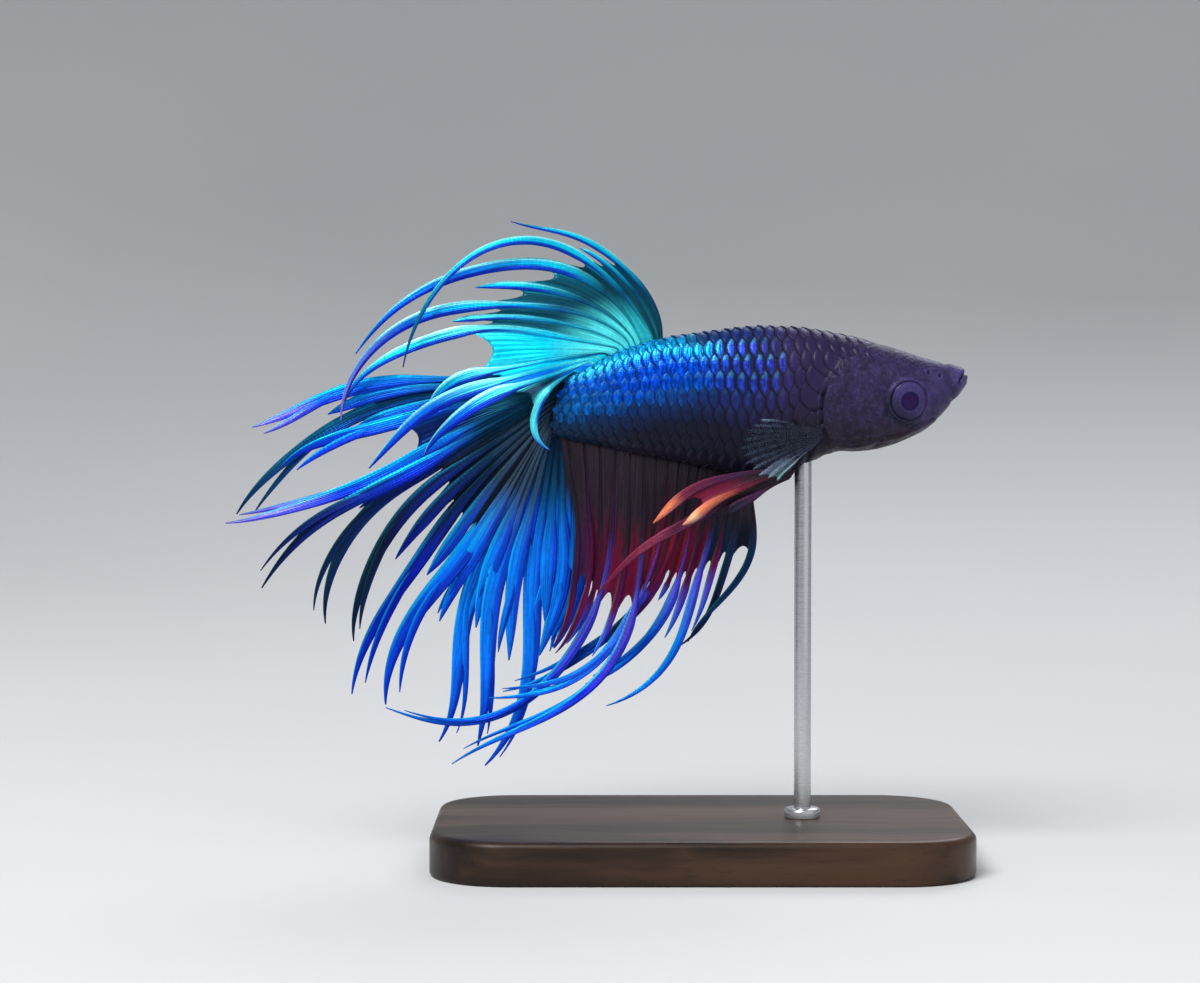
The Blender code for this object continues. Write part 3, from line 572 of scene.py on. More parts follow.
def head_tones(base, x, z):
    """Painted shade, night, in the gill cover's crease, the nostrils, the orbit and
    the hollow behind and below the eye; a paler ring round each nostril, and a
    painted highlight, paler, on the orbit's rim before and above the eye."""
    # painted shade in the gill cover's crease
    crease = bell(gill_reach(x, z) - GILL_CREASE, 0.07) * gill_rear(x, z)
    base = mix(base, tone("night"), 0.8 * crease)
    for at in NOSTRILS:
        n = np.hypot(x - at[0], z - at[1])
        # painted shade in the nostril's pit, then a paler ring round it
        base = mix(base, tone("night"), 0.8 * bell(n, 0.17))
        base = mix(base, tone("lip"), 0.25 * bell(n - 0.36, 0.14))
    r = eye_reach(x, z)
    under = below_eye(x, z)
    # painted highlight on the orbit's rim, fading behind and below the eye
    base = mix(base, tone("lip"), 0.34 * bell(r - 2.5, 0.22) * (1.0 - under))
    # painted shadow in the hollow behind and below the eye
    hollow = bell(r - 2.3 - 0.35 * smoothstep((EYE_CENTRE[2] - z) / 1.5), 0.40)
    base = mix(base, tone("night"), 0.85 * hollow * under)
    # painted shade in the orbit, deepest behind and below
    return mix(base, tone("night"), (0.2 + 0.7 * under) * (1.0 - smoothstep((r - 2.08) / 0.2)))


def shine_tones(shape, behind, h, blue_edge, top):
    """Tones of the bright patches: violet at the shoulder, blue behind it, cyan
    under the back and high on the tail's root, partly the scales' own colour and
    partly a painted highlight where they face up, teal along the lower boundary
    and at the tail's root."""
    rear = smoothstep((behind - 37.0) / 8.0)
    under_back = smoothstep((h - np.minimum(top, 0.98) + 0.16) / 0.12)
    low_edge = smoothstep((blue_edge + 0.14 - h) / 0.14)
    layers = (
        ("scale_blue", smoothstep((behind - 26.0) / 6.0)),
        # cyan under the back: own colour, brightened as a painted highlight
        ("scale_cyan", 0.7 * under_back * smoothstep((behind - 27.0) / 4.0)),
        ("scale_teal", 0.6 * smoothstep((behind - 27.0) / 5.0) * low_edge),
        ("scale_teal", 0.8 * rear * smoothstep((0.74 - h) / 0.3)),
        # cyan high on the tail's root: own colour, brightened as a painted highlight
        ("scale_cyan", 0.8 * rear * smoothstep((h - 0.70) / 0.16)),
    )
    return layered(tone("scale_violet") * np.ones(shape), layers)


def shine_amount(behind, h, blue_edge, top, fine):
    """Strength of the bright patches: full between the blue's two boundaries from
    the shoulder aft, less at the tail's root, and never under a faint share that
    reaches a little farther forward and down."""
    amount = smoothstep((behind - 20.6) / 1.2) * smoothstep((h - blue_edge + 0.08) / 0.18)
    amount = amount * (1.0 - smoothstep((h - top) / 0.05)) * (0.70 + 0.30 * fine)
    amount = amount * (1.0 - 0.35 * smoothstep((behind - 37.0) / 8.0))
    faint = 0.15 - 0.07 * smoothstep((behind - 25.0) / 5.0)
    faint = faint * smoothstep((behind - 19.0) / 3.0) * smoothstep((h - blue_edge + 0.3) / 0.3)
    return np.maximum(amount, faint)


def markings_and_painted_light(p, behind):
    """Base colour, colour of the bright patches, and their strength, by place on
    the body: all go by the height's share h between belly and back."""
    back, belly, _, _ = station(np.clip(behind, 0.0, BODY_LENGTH))
    x, z = p[..., 0], p[..., 2]
    h = np.clip((z - belly) / (back - belly), 0.0, 1.0)
    blue_edge = flow(behind, BLUE_EDGE[:, 0], BLUE_EDGE[:, 1])
    top = flow(behind, BLUE_TOP[:, 0], BLUE_TOP[:, 1])
    cloud = ripple(p, 5.0, 3)
    fine = ripple(p, 1.6, 5)
    # mouth_tones and head_tones paint shade into creases, pits and the orbit, and a highlight on
    # the orbit's rim
    base = mouth_tones(body_tones(p.shape, behind, h, blue_edge), x, z, behind)
    base = head_tones(base, x, z) * (0.82 + 0.24 * cloud + 0.18 * (fine - 0.5))[..., None]
    shine = shine_tones(p.shape, behind, h, blue_edge, top)
    return base, shine, shine_amount(behind, h, blue_edge, top, fine)


# ---- mesh helpers -----------------------------------------------------------------
def grid_faces(rows, cols, wrap=False):
    """Four-sided faces of a grid of points, rows by columns; with wrap the last
    column is joined to the first."""
    r = np.arange(rows - 1)[:, None]
    c = np.arange(cols if wrap else cols - 1)[None, :]
    d = (c + 1) % cols
    quads = [r * cols + c, (r + 1) * cols + c, (r + 1) * cols + d, r * cols + d]
    return np.stack(quads, axis=-1).reshape(-1, 4)


def tube_faces(rows, cols):
    """Faces of a closed tube: its grid, then fans of three-sided faces from the
    first and the last ring to the two points that follow the grid's own."""
    c = np.arange(cols)
    d = (c + 1) % cols
    last_row = (rows - 1) * cols
    first = np.stack([np.full(cols, rows * cols), c, d], axis=1)
    last = np.stack([np.full(cols, rows * cols + 1), last_row + d, last_row + c], axis=1)
    return grid_faces(rows, cols, wrap=True), first, last


def make_piece(name, verts, faces, material, replaced, uvs=None, tones=None):
    """A smooth mesh object from points in mm and lists of equal-sided faces.

    Each map in uvs is given per point or per corner, each colour in tones per
    point, with or without its alpha.
    """
    mesh = bpy.data.meshes.new(name)
    corners = np.concatenate([f.reshape(-1) for f in faces]).astype(np.int32)
    sides = np.concatenate([np.full(len(f), f.shape[1]) for f in faces])
    mesh.vertices.add(len(verts))
    mesh.vertices.foreach_set("co", (np.asarray(verts) * MM).astype(np.float32).ravel())
    mesh.loops.add(len(corners))
    mesh.loops.foreach_set("vertex_index", corners)
    mesh.polygons.add(len(sides))
    starts = np.r_[0, np.cumsum(sides)[:-1]].astype(np.int32)
    mesh.polygons.foreach_set("loop_start", starts)
    mesh.update(calc_edges=True)
    mesh.validate()
    mesh.shade_smooth()
    for key, uv in (uvs or {}).items():
        layer = mesh.uv_layers.new(name=key)
        by_corner = len(uv) == len(corners) and len(uv) != len(verts)
        flat = uv if by_corner else uv[corners]
        layer.data.foreach_set("uv", flat.astype(np.float32).ravel())
    for key, colour in (tones or {}).items():
        layer = mesh.color_attributes.new(key, "FLOAT_COLOR", "POINT")
        if colour.shape[1] == 3:
            colour = np.c_[colour, np.ones(len(colour))]
        layer.data.foreach_set("color", colour.astype(np.float32).ravel())
    mesh.materials.append(material)
    obj = bpy.data.objects.new(name, mesh)
    bpy.context.scene.collection.objects.link(obj)
    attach(obj, "root")
    if replaced:
        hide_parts(*replaced)
    return obj


def shells(front, back):
    """Closed thin solids between matching stacks of grids.

    front and back are (count, rows, columns, 3).  Each solid is the front
    grid, the back grid turned round, and a rim; its faces are reversed where
    the front grid would otherwise face the back one.
    """
    count, rows, cols, _ = front.shape
    size = rows * cols
    r, c = rows // 2, cols // 2
    along = front[:, r, c] - front[:, r - 1, c]
    across = front[:, r, c] - front[:, r, c - 1]
    outward = front[:, r, c] - back[:, r, c]
    wrong = np.einsum("ij,ij->i", np.cross(along, across), outward) < 0.0
    verts = np.stack([front, back], axis=1).reshape(count * 2 * size, 3)
    quads = grid_faces(rows, cols)
    index = np.arange(size).reshape(rows, cols)
    rim = np.r_[index[:, 0], index[-1, 1:], index[-2::-1, -1], index[0, -2:0:-1]]
    ahead = np.roll(rim, -1)
    sides = np.stack([ahead, rim, rim + size, ahead + size], axis=1)
    solid = np.concatenate([quads, quads[:, ::-1] + size, sides])
    faces = solid[None] + (np.arange(count) * 2 * size)[:, None, None]
    faces[wrong] = faces[wrong][:, :, ::-1]
    return verts, faces.reshape(-1, 4)


def doubled(values):
    """Values on front grids repeated for the back ones, one row per point."""
    count = values.shape[0]
    flat = values.reshape(count, -1, values.shape[-1])
    return np.stack([flat, flat], axis=1).reshape(-1, values.shape[-1])


# ---- materials ----------------------------------------------------------------------
class Nodes:
    """Short way to lay out a material: each call adds a node and wires it."""

    def __init__(self, name):
        self.material = bpy.data.materials.new(name)
        self.material.use_nodes = True
        self.tree = self.material.node_tree
        self.shader = self.tree.nodes["Principled BSDF"]

    def add(self, kind, inputs=None, **settings):
        """A node of a kind, with its settings and what goes into its sockets."""
        made = self.tree.nodes.new("ShaderNode" + kind)
        for key, value in settings.items():
            setattr(made, key, value)
        for key, value in (inputs or {}).items():
            self.set(made.inputs[key], value)
        return made

    def set(self, socket, value):
        """Wire a socket to another one, or give it a value of its own."""
        if isinstance(value, bpy.types.NodeSocket):
            self.tree.links.new(value, socket)
        else:
            socket.default_value = value

    def shade(self, **values):
        """Set the shader's sockets; an underscore stands for a space."""
        for key, value in values.items():
            self.set(self.shader.inputs[key.replace("_", " ")], value)

    def math(self, kind, a, b=0.0):
        """a and b put together by one operation."""
        return self.add("Math", {0: a, 1: b}, operation=kind).outputs[0]

    def plus(self, a, b):
        """a plus b."""
        return self.math("ADD", a, b)

    def minus(self, a, b):
        """a less b."""
        return self.math("SUBTRACT", a, b)

    def times(self, a, b):
        """a times b."""
        return self.math("MULTIPLY", a, b)

    def waves(self, along, often):
        """Sine of a place times how often it waves."""
        return self.math("SINE", self.times(along, often))

    def blend(self, share, a, b, kind="MIX"):
        """Colour a where the share is 0, b (or a and b multiplied) where it is 1."""
        made = self.add("Mix", {0: share, 6: a, 7: b}, data_type="RGBA", blend_type=kind)
        return made.outputs[2]

    def shaded(self, colour, light):
        """A colour times one light value on all three channels."""
        grey = self.add("CombineXYZ", {0: light, 1: light, 2: light}).outputs[0]
        return self.blend(1.0, colour, grey, "MULTIPLY")

    def step(self, value, low, high, out_low=0.0, out_high=1.0):
        """Smooth step of a value between low and high, from out_low to out_high."""
        made = self.add("MapRange", {0: value, 1: low, 2: high, 3: out_low, 4: out_high},
                        interpolation_type="SMOOTHSTEP")
        return made.outputs[0]

    def noise(self, where, size, detail=3.0, rough=0.6):
        """Cloudy noise with clouds of about a size, in metres."""
        made = self.add("TexNoise", {"Vector": where, "Scale": 1.0 / size,
                                     "Detail": detail, "Roughness": rough})
        return made.outputs["Fac"]

    def cells(self, where, size):
        """Distance to the nearest of scattered points about a size apart."""
        made = self.add("TexVoronoi", {"Vector": where, "Scale": 1.0 / size}, feature="F1")
        return made.outputs["Distance"]

    def bump(self, height, distance, strength=1.0, under=None):
        """Grain of a height over the surface, or over the grain under it."""
        inputs = {"Height": height, "Distance": distance, "Strength": strength}
        if under is not None:
            inputs["Normal"] = under
        return self.add("Bump", inputs).outputs[0]

    def place(self):
        """The object's own coordinates."""
        return self.add("TexCoord").outputs["Object"]

    def stretched(self, where, scale):
        """Coordinates times a scale of their own for each axis."""
        return self.add("Mapping", {0: where, "Scale": scale}).outputs[0]

    def paint(self, name):
        """A colour that the mesh carries, with its alpha."""
        made = self.add("Attribute", attribute_name=name)
        return made.outputs["Color"], made.outputs["Alpha"]

    def map(self, name):
        """A map that the mesh carries: its x, its y, and both together."""
        made = self.add("UVMap", uv_map=name)
        parts = self.add("SeparateXYZ", {0: made.outputs[0]})
        return parts.outputs[0], parts.outputs[1], made.outputs[0]


def skin_material():
    """Matte dark skin: the marking tones with their painted shade and highlights, small clouds,
    pigment specks and pores.
    """
    n = Nodes("betta_skin")
    where = n.place()
    base, _ = n.paint("tone")
    colour = n.shaded(base, n.step(n.noise(where, 0.0009), 0.36, 0.66, 0.76, 1.28))
    patch = n.step(n.noise(where, 0.00042, 2.0), 0.50, 0.66)
    colour = n.blend(n.times(patch, 0.16), colour, tint("violet_bloom"))
    speck = n.times(n.step(n.cells(where, 0.00034), 0.26, 0.10), patch)
    colour = n.blend(n.times(speck, 0.30), colour, tint("violet_speck"))
    dark = n.step(n.noise(where, 0.00028, 2.0), 0.60, 0.72)
    colour = n.blend(n.times(dark, 0.3), colour, tint("pigment"))
    grain = n.bump(n.noise(where, 0.00022, 3.0), 0.00006, 0.6)
    grain = n.bump(n.cells(where, 0.00055), 0.00005, 0.6, grain)
    rough = n.step(n.noise(where, 0.0007), 0.3, 0.7, 0.36, 0.56)
    n.shade(Base_Color=colour, Roughness=rough, Normal=grain, Specular_IOR_Level=0.18,
            Coat_Weight=0.03, Coat_Roughness=0.3)
    return n.material


def scale_material():
    """Scale plates: a dark base, and behind the middle of each plate a bright
    patch taller than it is long, with a painted highlight paler at its top and
    painted glints, upright streaks of noise brighter and dimmer, over it.  The
    patch ends where its reach, an oval distance from its middle with noise in
    it, passes a step, and it spreads over the whole plate where the tone's alpha
    grows.  Rings cross the plate and fine rays run along it, both sine waves."""
    n = Nodes("betta_scales")
    where = n.place()
    base, spread = n.paint("tone")
    bright, strength = n.paint("shine")
    along, aside, _ = n.map("plate")
    off_along = n.times(n.minus(along, 0.75), 7.5)
    off_aside = n.times(n.minus(aside, 0.5), 3.3)
    squares = n.plus(n.times(off_along, off_along), n.times(off_aside, off_aside))
    reach = n.math("SQRT", squares)
    wobble = n.times(n.minus(n.noise(where, 0.0004), 0.5), 1.1)
    reach = n.minus(n.plus(reach, wobble), n.times(spread, 1.1))
    patch = n.step(reach, 1.35, 0.35)
    rim = n.times(n.step(along, 0.90, 0.99), n.minus(0.62, n.times(spread, 0.35)))
    amount = n.times(strength, patch)
    rays = n.waves(aside, 62.0)
    rings = n.waves(along, 54.0)
    # painted glints: upright streaks of noise brighten and dim the patch
    upright = n.stretched(where, (3300.0, 1400.0, 1150.0))
    lit = n.shaded(bright, n.step(n.noise(upright, 1.0, 3.0), 0.40, 0.66, 0.50, 1.55))
    # painted highlight: the top of each patch paler
    crown = n.times(n.step(aside, 0.56, 0.74), n.minus(0.62, n.times(spread, 0.45)))
    lit = n.blend(crown, lit, tint("scale_top_highlight"))
    colour = n.blend(amount, base, lit)
    colour = n.blend(rim, colour, tint("scale_rim"))
    grain = n.bump(n.plus(n.times(rays, 0.5), n.times(rings, 0.5)), 0.000012, 0.5)
    grain = n.bump(n.noise(where, 0.0003, 3.0), 0.00004, 0.5, grain)
    rough = n.step(patch, 0.0, 1.0, 0.50, 0.32)
    n.shade(Base_Color=colour, Roughness=rough, Normal=grain, Metallic=n.times(amount, 0.75),
            Specular_IOR_Level=0.11, Coat_Weight=0.02, Coat_Roughness=0.2)
    return n.material


def fin_material(name, streak=0.65, metallic=0.6, cover=None):
    """Fin skin: tones run along the ray, with darker streaks between fine ridges
    and low joints across, both sine waves.

    The map "fin" has x across the strip (0..1) and y along it in mm / 10; the
    tone's own alpha says how much the piece is thin web, which has no joints.
    cover says how much a web and a ray hide in a see-through fin, whose dark
    parts are clearer than its pale ones.
    """
    n = Nodes(name)
    where = n.place()
    colour, thin = n.paint("tone")
    across, along, whole = n.map("fin")
    run = n.noise(n.stretched(whole, (7.0, 1.1, 1.0)), 1.0, 3.0, 0.65)
    fleck = n.noise(where, 0.0005, 3.0)
    light = n.step(run, 0.36, 0.66, 0.55, 1.42)
    light = n.times(light, n.step(fleck, 0.3, 0.7, 0.86, 1.14))
    streaked = n.blend(streak, colour, n.shaded(colour, light))
    ridge = n.waves(across, 44.0)
    joint = n.waves(along, 130.0)
    bony = n.minus(1.0, thin)
    grain = n.bump(n.plus(ridge, n.times(joint, n.times(bony, 0.3))), 0.00003, 0.55)
    grain = n.bump(run, 0.00006, 0.5, grain)
    rough = n.step(run, 0.3, 0.7, 0.42, 0.28)
    n.shade(Base_Color=streaked, Roughness=rough, Normal=grain, Metallic=metallic,
            Specular_IOR_Level=0.15, Coat_Weight=0.03, Coat_Roughness=0.2)
    if cover is not None:
        blue_part = n.add("SeparateXYZ", {0: colour}).outputs[2]
        share = n.step(blue_part, 0.40, 0.66, 0.4, 1.0)
        clear = n.step(thin, 0.0, 1.0, cover[1], cover[0])
        n.shade(Alpha=n.times(clear, share))
    return n.material


def eye_material():
    """Eye: tones by ring, fine spokes round the pupil, a clear wet coat on top.

    The tone's alpha is 0 on the pupil, which stays smooth and plain, and 1
    outside it.
    """
    n = Nodes("eye_wet")
    where = n.place()
    colour, outside = n.paint("tone")
    turn, out, _ = n.map("ring")
    spokes = n.add("CombineXYZ", {0: n.times(turn, 90.0), 1: n.times(out, 2.5)}).outputs[0]
    fibre = n.noise(spokes, 1.0, 2.0)
    iris = n.shaded(colour, n.step(fibre, 0.35, 0.7, 0.75, 1.35))
    fleck = n.step(n.noise(where, 0.0002), 0.58, 0.70)
    iris = n.blend(n.times(fleck, 0.16), iris, tint("eye_fleck"))
    whole = n.blend(outside, colour, iris)
    grain = n.times(fibre, outside)
    n.shade(Base_Color=whole, Roughness=0.42, Normal=n.bump(grain, 0.00004, 0.5),
            Specular_IOR_Level=0.08, Coat_Weight=0.35, Coat_Roughness=0.05, Coat_IOR=1.35)
    return n.material


def wood_material():
    """Dark stained hardwood under satin lacquer: long grain bent by slow noise,
    pores drawn out along it, soft bands."""
    n = Nodes("stand_wood")
    where = n.place()
    drawn = n.stretched(where, (12.0, 150.0, 150.0))
    warp = n.noise(where, 0.03, 2.0)
    aside = n.add("CombineXYZ", {1: n.times(warp, 1.8)}).outputs[0]
    bent = n.add("VectorMath", {0: drawn, 1: aside}, operation="ADD").outputs[0]
    band = n.noise(bent, 1.0, 4.0, 0.6)
    ramp = n.blend(n.step(band, 0.36, 0.64), tint("wood_dark"), tint("wood_light"))
    pores = n.step(n.noise(n.stretched(where, (260.0, 5200.0, 5200.0)), 1.0, 2.0), 0.60, 0.72)
    ramp = n.blend(n.times(pores, 0.45), ramp, tint("wood_pore"))
    grain = n.bump(n.minus(1.0, pores), 0.00003, 0.2)
    n.shade(Base_Color=ramp, Roughness=n.step(band, 0.3, 0.7, 0.42, 0.30), Normal=grain,
            Specular_IOR_Level=0.2, Coat_Weight=0.06, Coat_Roughness=0.3)
    return n.material


def steel_material():
    """Brushed steel rod: noise pressed flat into rings of fine scratches."""
    n = Nodes("stand_steel_rod")
    brush = n.noise(n.stretched(n.place(), (120.0, 120.0, 16000.0)), 1.0, 2.0)
    shade = n.blend(brush, tint("steel_dim"), tint("steel_pale"))
    n.shade(Base_Color=shade, Metallic=1.0, Roughness=n.step(brush, 0.3, 0.7, 0.24, 0.32),
            Normal=n.bump(brush, 0.000004, 0.3))
    return n.material


def floor_material():
    """Pale matte paper sweep with a trace of tooth."""
    n = Nodes("floor_paper")
    where = n.place()
    cloud = n.step(n.noise(where, 0.35, 2.0), 0.2, 0.8)
    colour = n.blend(cloud, tint("paper_dim"), tint("paper_pale"))
    n.shade(Base_Color=colour, Roughness=0.85, Normal=n.bump(n.noise(where, 0.002), 0.0001, 0.2))
    return n.material


# ---- body pieces -----------------------------------------------------------------------
def ring_places():
    """Distances behind the snout: close together on the head, wider aft."""
    dense = np.linspace(0.0, 18.5, 205)
    return np.r_[dense, np.linspace(18.5, BODY_LENGTH, 140)[1:]]


DOME_RINGS = 6           # smaller rings that round the snout off


def snout_dome(ring):
    """Rings between the snout's middle and its first ring, each the ring shrunk
    by the sine of an even angle and moved forward by its cosine."""
    share = np.sin(np.linspace(0.12, 1.0, DOME_RINGS + 1)[:-1] * 0.5 * np.pi)
    middle = ring.mean(axis=0)
    dome = middle + (ring - middle)[None] * share[:, None, None]
    dome[..., 0] += SNOUT_DOME * np.sqrt(1.0 - share ** 2)[:, None]
    return dome


def make_skin(material, cols=192):
    """One closed skin from snout to tail stalk.

    Every ring is the body form at a distance behind the snout, stepped evenly
    round the girth, and moved along its normal by the relief; the snout's dome
    goes before the first ring and a point closes each end.
    """
    around = np.arange(cols) / cols
    b, q = np.meshgrid(ring_places(), around, indexing="ij")
    plain = surface(b, q)
    plain = np.concatenate([snout_dome(plain[0]), plain])
    b = np.concatenate([np.zeros((DOME_RINGS, cols)), b])
    q = np.concatenate([np.tile(around, (DOME_RINGS, 1)), q])
    wrapped = np.concatenate([plain[:, -1:], plain, plain[:, :1]], axis=1)
    normal = unit(np.cross(np.gradient(plain, axis=0), wrapped[:, 2:] - wrapped[:, :-2]))
    skin = plain + normal * relief(plain, b, q)[..., None]
    base, shine, amount = markings_and_painted_light(plain, b)
    tones = mix(base, shine, 0.35 * amount).reshape(-1, 3)
    ends = np.array([skin[0].mean(axis=0) + (0.03, 0, 0), skin[-1].mean(axis=0)])
    verts = np.concatenate([skin.reshape(-1, 3), ends])
    tones = np.concatenate([tones, tones[:1], tones[-1:]])
    quads, first, last = tube_faces(len(skin), cols)
    uv = [unwrap(b.ravel(), q.ravel(), quads, cols), unwrap_fans(first, last, q.ravel())]
    replaced = ("head", "lower_jaw", "trunk", "tail_stalk", "gill_cover_right",
                "gill_cover_left")
    return make_piece("body_skin", verts, [quads, first, last], material,
                      replaced, {"OFBake": np.concatenate(uv)}, {"tone": tones})


def unwrap_place(behind, around):
    """The skin's own unwrap: across is along the body, up is round the girth."""
    return np.stack([0.02 + 0.94 * behind / BODY_LENGTH, 0.02 + 0.94 * around], axis=-1)


def unwrap(behind, around, quads, cols):
    """Unwrap per corner, so that the last column ends at the map's far edge; the
    snout's dome goes evenly into a strip before the first ring."""
    q = around[quads]
    seam = (quads[:, 2] % cols) == 0
    q[seam, 2:] = 1.0
    ring = quads // cols
    b = behind[quads] - 0.4 * (ring < DOME_RINGS) * (DOME_RINGS - ring) / float(DOME_RINGS)
    return unwrap_place(b, q).reshape(-1, 2)


def unwrap_fans(first, last, around):
    """Unwrap of the two end fans: each face a thin triangle past the end of the
    map, its tip straight beside its first corner."""
    ends = []
    for fan, tip, edge in ((first, -0.5, -0.4), (last, BODY_LENGTH + 0.3, BODY_LENGTH)):
        place = np.stack([around[fan[:, 1]], around[fan[:, 1]], around[fan[:, 2]]], axis=1)
        place[np.abs(place[:, 1] - place[:, 2]) > 0.5] = 0.995
        behind = np.full(fan.shape, edge)
        behind[:, 0] = tip
        ends.append(unwrap_place(behind, place).reshape(-1, 2))
    return np.concatenate(ends)


def scale_places():
    """Distance behind the snout, spacing and place round the girth of each scale.

    Columns are SCALE_STEP apart at the front and close slowly aft, by a square
    of their number; every second row is moved half a column back.  Row 0 is
    centred on the back and row SCALE_ROWS / 2 on the belly.
    """
    half = np.arange(SCALE_COLUMNS * 2) * 0.5
    place = SCALE_FIRST + SCALE_STEP * half - SCALE_CLOSING * half ** 2
    spacing = SCALE_STEP - 2 * SCALE_CLOSING * half
    row = np.arange(SCALE_ROWS)
    k = 2 * np.arange(SCALE_COLUMNS)[:, None] + (row % 2)[None, :]
    around = np.broadcast_to(row[None, :] / SCALE_ROWS, k.shape).ravel()
    behind, step = place[k].ravel(), spacing[k].ravel()
    p = surface(behind + 0.6, around)
    keep = scaled_share(behind + 0.4, p[:, 0], p[:, 2]) > 0.55
    keep &= behind + 1.15 * step < BODY_LENGTH + 0.2
    return behind[keep], step[keep], around[keep]


def make_scales(material, name, low, high):
    """Overlapping plates over one side, joined as one mesh.

    A plate is a grid on the body form: along it (u 0..1) runs two column steps
    aft, less toward its sides, so that its free edge is round; aside (v -1..1)
    it reaches a row and a bit.  Its height over the skin grows from root to
    free edge by a power of u and is highest in the middle.
    """
    behind, step, around = scale_places()
    side = (around >= low) & (around < high)
    behind, step, around = [a[side][:, None, None] for a in (behind, step, around)]
    u = np.linspace(0.0, 1.0, PLATE_ROWS)[None, :, None]
    v = np.linspace(-1.0, 1.0, PLATE_COLUMNS)[None, None, :]
    jitter = np.random.default_rng(11).uniform(-1.0, 1.0, (3, len(behind), 1, 1))
    length = (2.05 + 0.08 * jitter[0]) * step
    b = behind + length * u * (1.0 - 0.34 * np.abs(v) ** 2.2) - 0.35 * step
    narrow = np.sqrt(1.0 - 0.30 * u ** 3) * (0.80 + 0.20 * np.sin(np.pi * u))
    q = around + (1.12 + 0.05 * jitter[1]) / SCALE_ROWS * v * narrow
    normal = surface_normal(b, q)
    past = np.maximum(b - BODY_LENGTH, 0.0)
    plain = surface(b, q) - np.array([1.0, 0.0, 0.0]) * past[..., None]
    rise = coat_depth(b) * (1.16 + 0.10 * jitter[2]) * u ** 1.15 * (1.0 - 0.22 * v * v)
    rise = rise - PLATE_SINK
    front = plain + normal * (relief(plain, b, q) + rise)[..., None]
    thick = 0.10 + 0.10 * u * (1.0 - v * v)
    verts, faces = shells(front, front - normal * thick[..., None])
    upward = 0.5 if low > 0.25 else -0.5
    plate = np.stack(np.broadcast_arrays(u, 0.5 + upward * v, b)[:2], axis=-1)
    patch = unwrap_place(behind, around) + (plate - 0.5) * SCALE_PATCH
    base, shine, _ = markings_and_painted_light(plain, b)
    middle_b = np.broadcast_to(behind + step, b.shape)
    _, _, amount = markings_and_painted_light(surface(middle_b, np.broadcast_to(around, b.shape)), middle_b)
    spread = np.maximum(smoothstep((b - 26.0) / 7.0), 1.0 - smoothstep((b - 14.0) / 7.0))
    base = np.concatenate([base, spread[..., None]], axis=-1)
    shine = np.concatenate([shine, amount[..., None]], axis=-1)
    return make_piece(name, verts, [faces], material, (),
                      {"plate": doubled(plate), "OFBake": doubled(patch)},
                      {"tone": doubled(base), "shine": doubled(shine)})


# ---- fins ---------------------------------------------------------------------------------
WEB_ROWS = 30            # rows along a ray up to the web's edge
FREE_ROWS = 56           # rows from there to the tip
RAY_COLUMNS = 11
WEB_COLUMNS = 11
BRANCH_FROM = 1.15       # where the end of a ray parts in two, by stage
BRANCH_TO = 1.93         # where the second end stops
BRANCH_WIDE = 1.95       # where it would have swung all the way
UV_SPACING = 1.7         # distance between two rays on the map "fin"

# What the look of a fin says:
#   width, tip      half width of a ray near the web's edge, and at its tip
#   thick, ridge    thickness of a ray, and height of the two ridges on it
#   pleat, twist    how far rays stand to either side in turn, and how far their
#                   free ends turn (radians)
#   notch, slack    how far a web is drawn back (share of its length), and how
#                   far it bellies to one side
#   light           way in X and Z from which the edge of a ray is lit
#   high, low       tones of the lit and of the shaded edge
#   edges           strengths of those two
#   base            share of a web that keeps its root tone
#   split           how far a second end swings away from its ray (0 for none)
#   room, free      share of the way to the next ray that a ray may fill, at the
#                   root and beyond, and the stage where it is let loose and how
#                   slowly
#   sink, drop      how deep the roots start inside the body, and how much lower
#   phase           shift of the twists from fin to fin
FIN_LOOK = dict(slack=0.25, light=(-0.5, 0.87), high="cyan", low="royal", split=0.0,
                room=(0.4, 0.3), free=(0.9, 0.3), sink=ROOT_SINK, drop=0.0, phase=0.0)


def midline(x, angle, count=240):
    """Height of the back (90) or belly (-90) edge at place x."""
    behind = np.linspace(0.0, BODY_LENGTH, count)
    edge = body_point(behind, np.full(count, np.radians(angle)))
    return np.interp(x, edge[::-1, 0], edge[::-1, 2])


def ray_line(root, ray, rise, count=241):
    """Centre line: heading(t) = first + (last - first) t^hold + curl t^5 and a
    slow wander of a few degrees, summed step by step; y leaves the root by
    sway times smoothstep(t / rise)."""
    first, last, length, hold, curl, sway = ray[1:7]
    t = np.linspace(0.0, 1.0, count)
    wander = WANDER * smoothstep(t / 0.5) * np.sin(9.5 * t + 17.0 * ray[0])
    heading = np.radians(first + (last - first) * t ** hold + curl * t ** 5 + wander)
    step = length * np.stack([np.cos(heading), np.sin(heading)], axis=1) / (count - 1)
    run = np.zeros((count, 2))
    run[1:] = np.cumsum(0.5 * (step[1:] + step[:-1]), axis=0)
    y = root[1] + sway * smoothstep(t / rise)
    return np.stack([root[0] + run[:, 0], y, root[2] + run[:, 1]], axis=1)


def stage_of_rows():
    """0 at the root, 1 at the web's edge, 2 at the tip, for every row."""
    return np.r_[np.linspace(0.0, 1.0, WEB_ROWS + 1), np.linspace(1.0, 2.0, FREE_ROWS + 1)[1:]]


def tone_curve(names, stage):
    """Colour along a ray, blended evenly between its five named tones."""
    colours = np.array([tone(name) for name in names.split()])
    stops = (0.05, 0.5, 0.98, 1.4, 2.0)
    return np.stack([np.interp(stage, stops, colours[:, k]) for k in range(3)], axis=1)


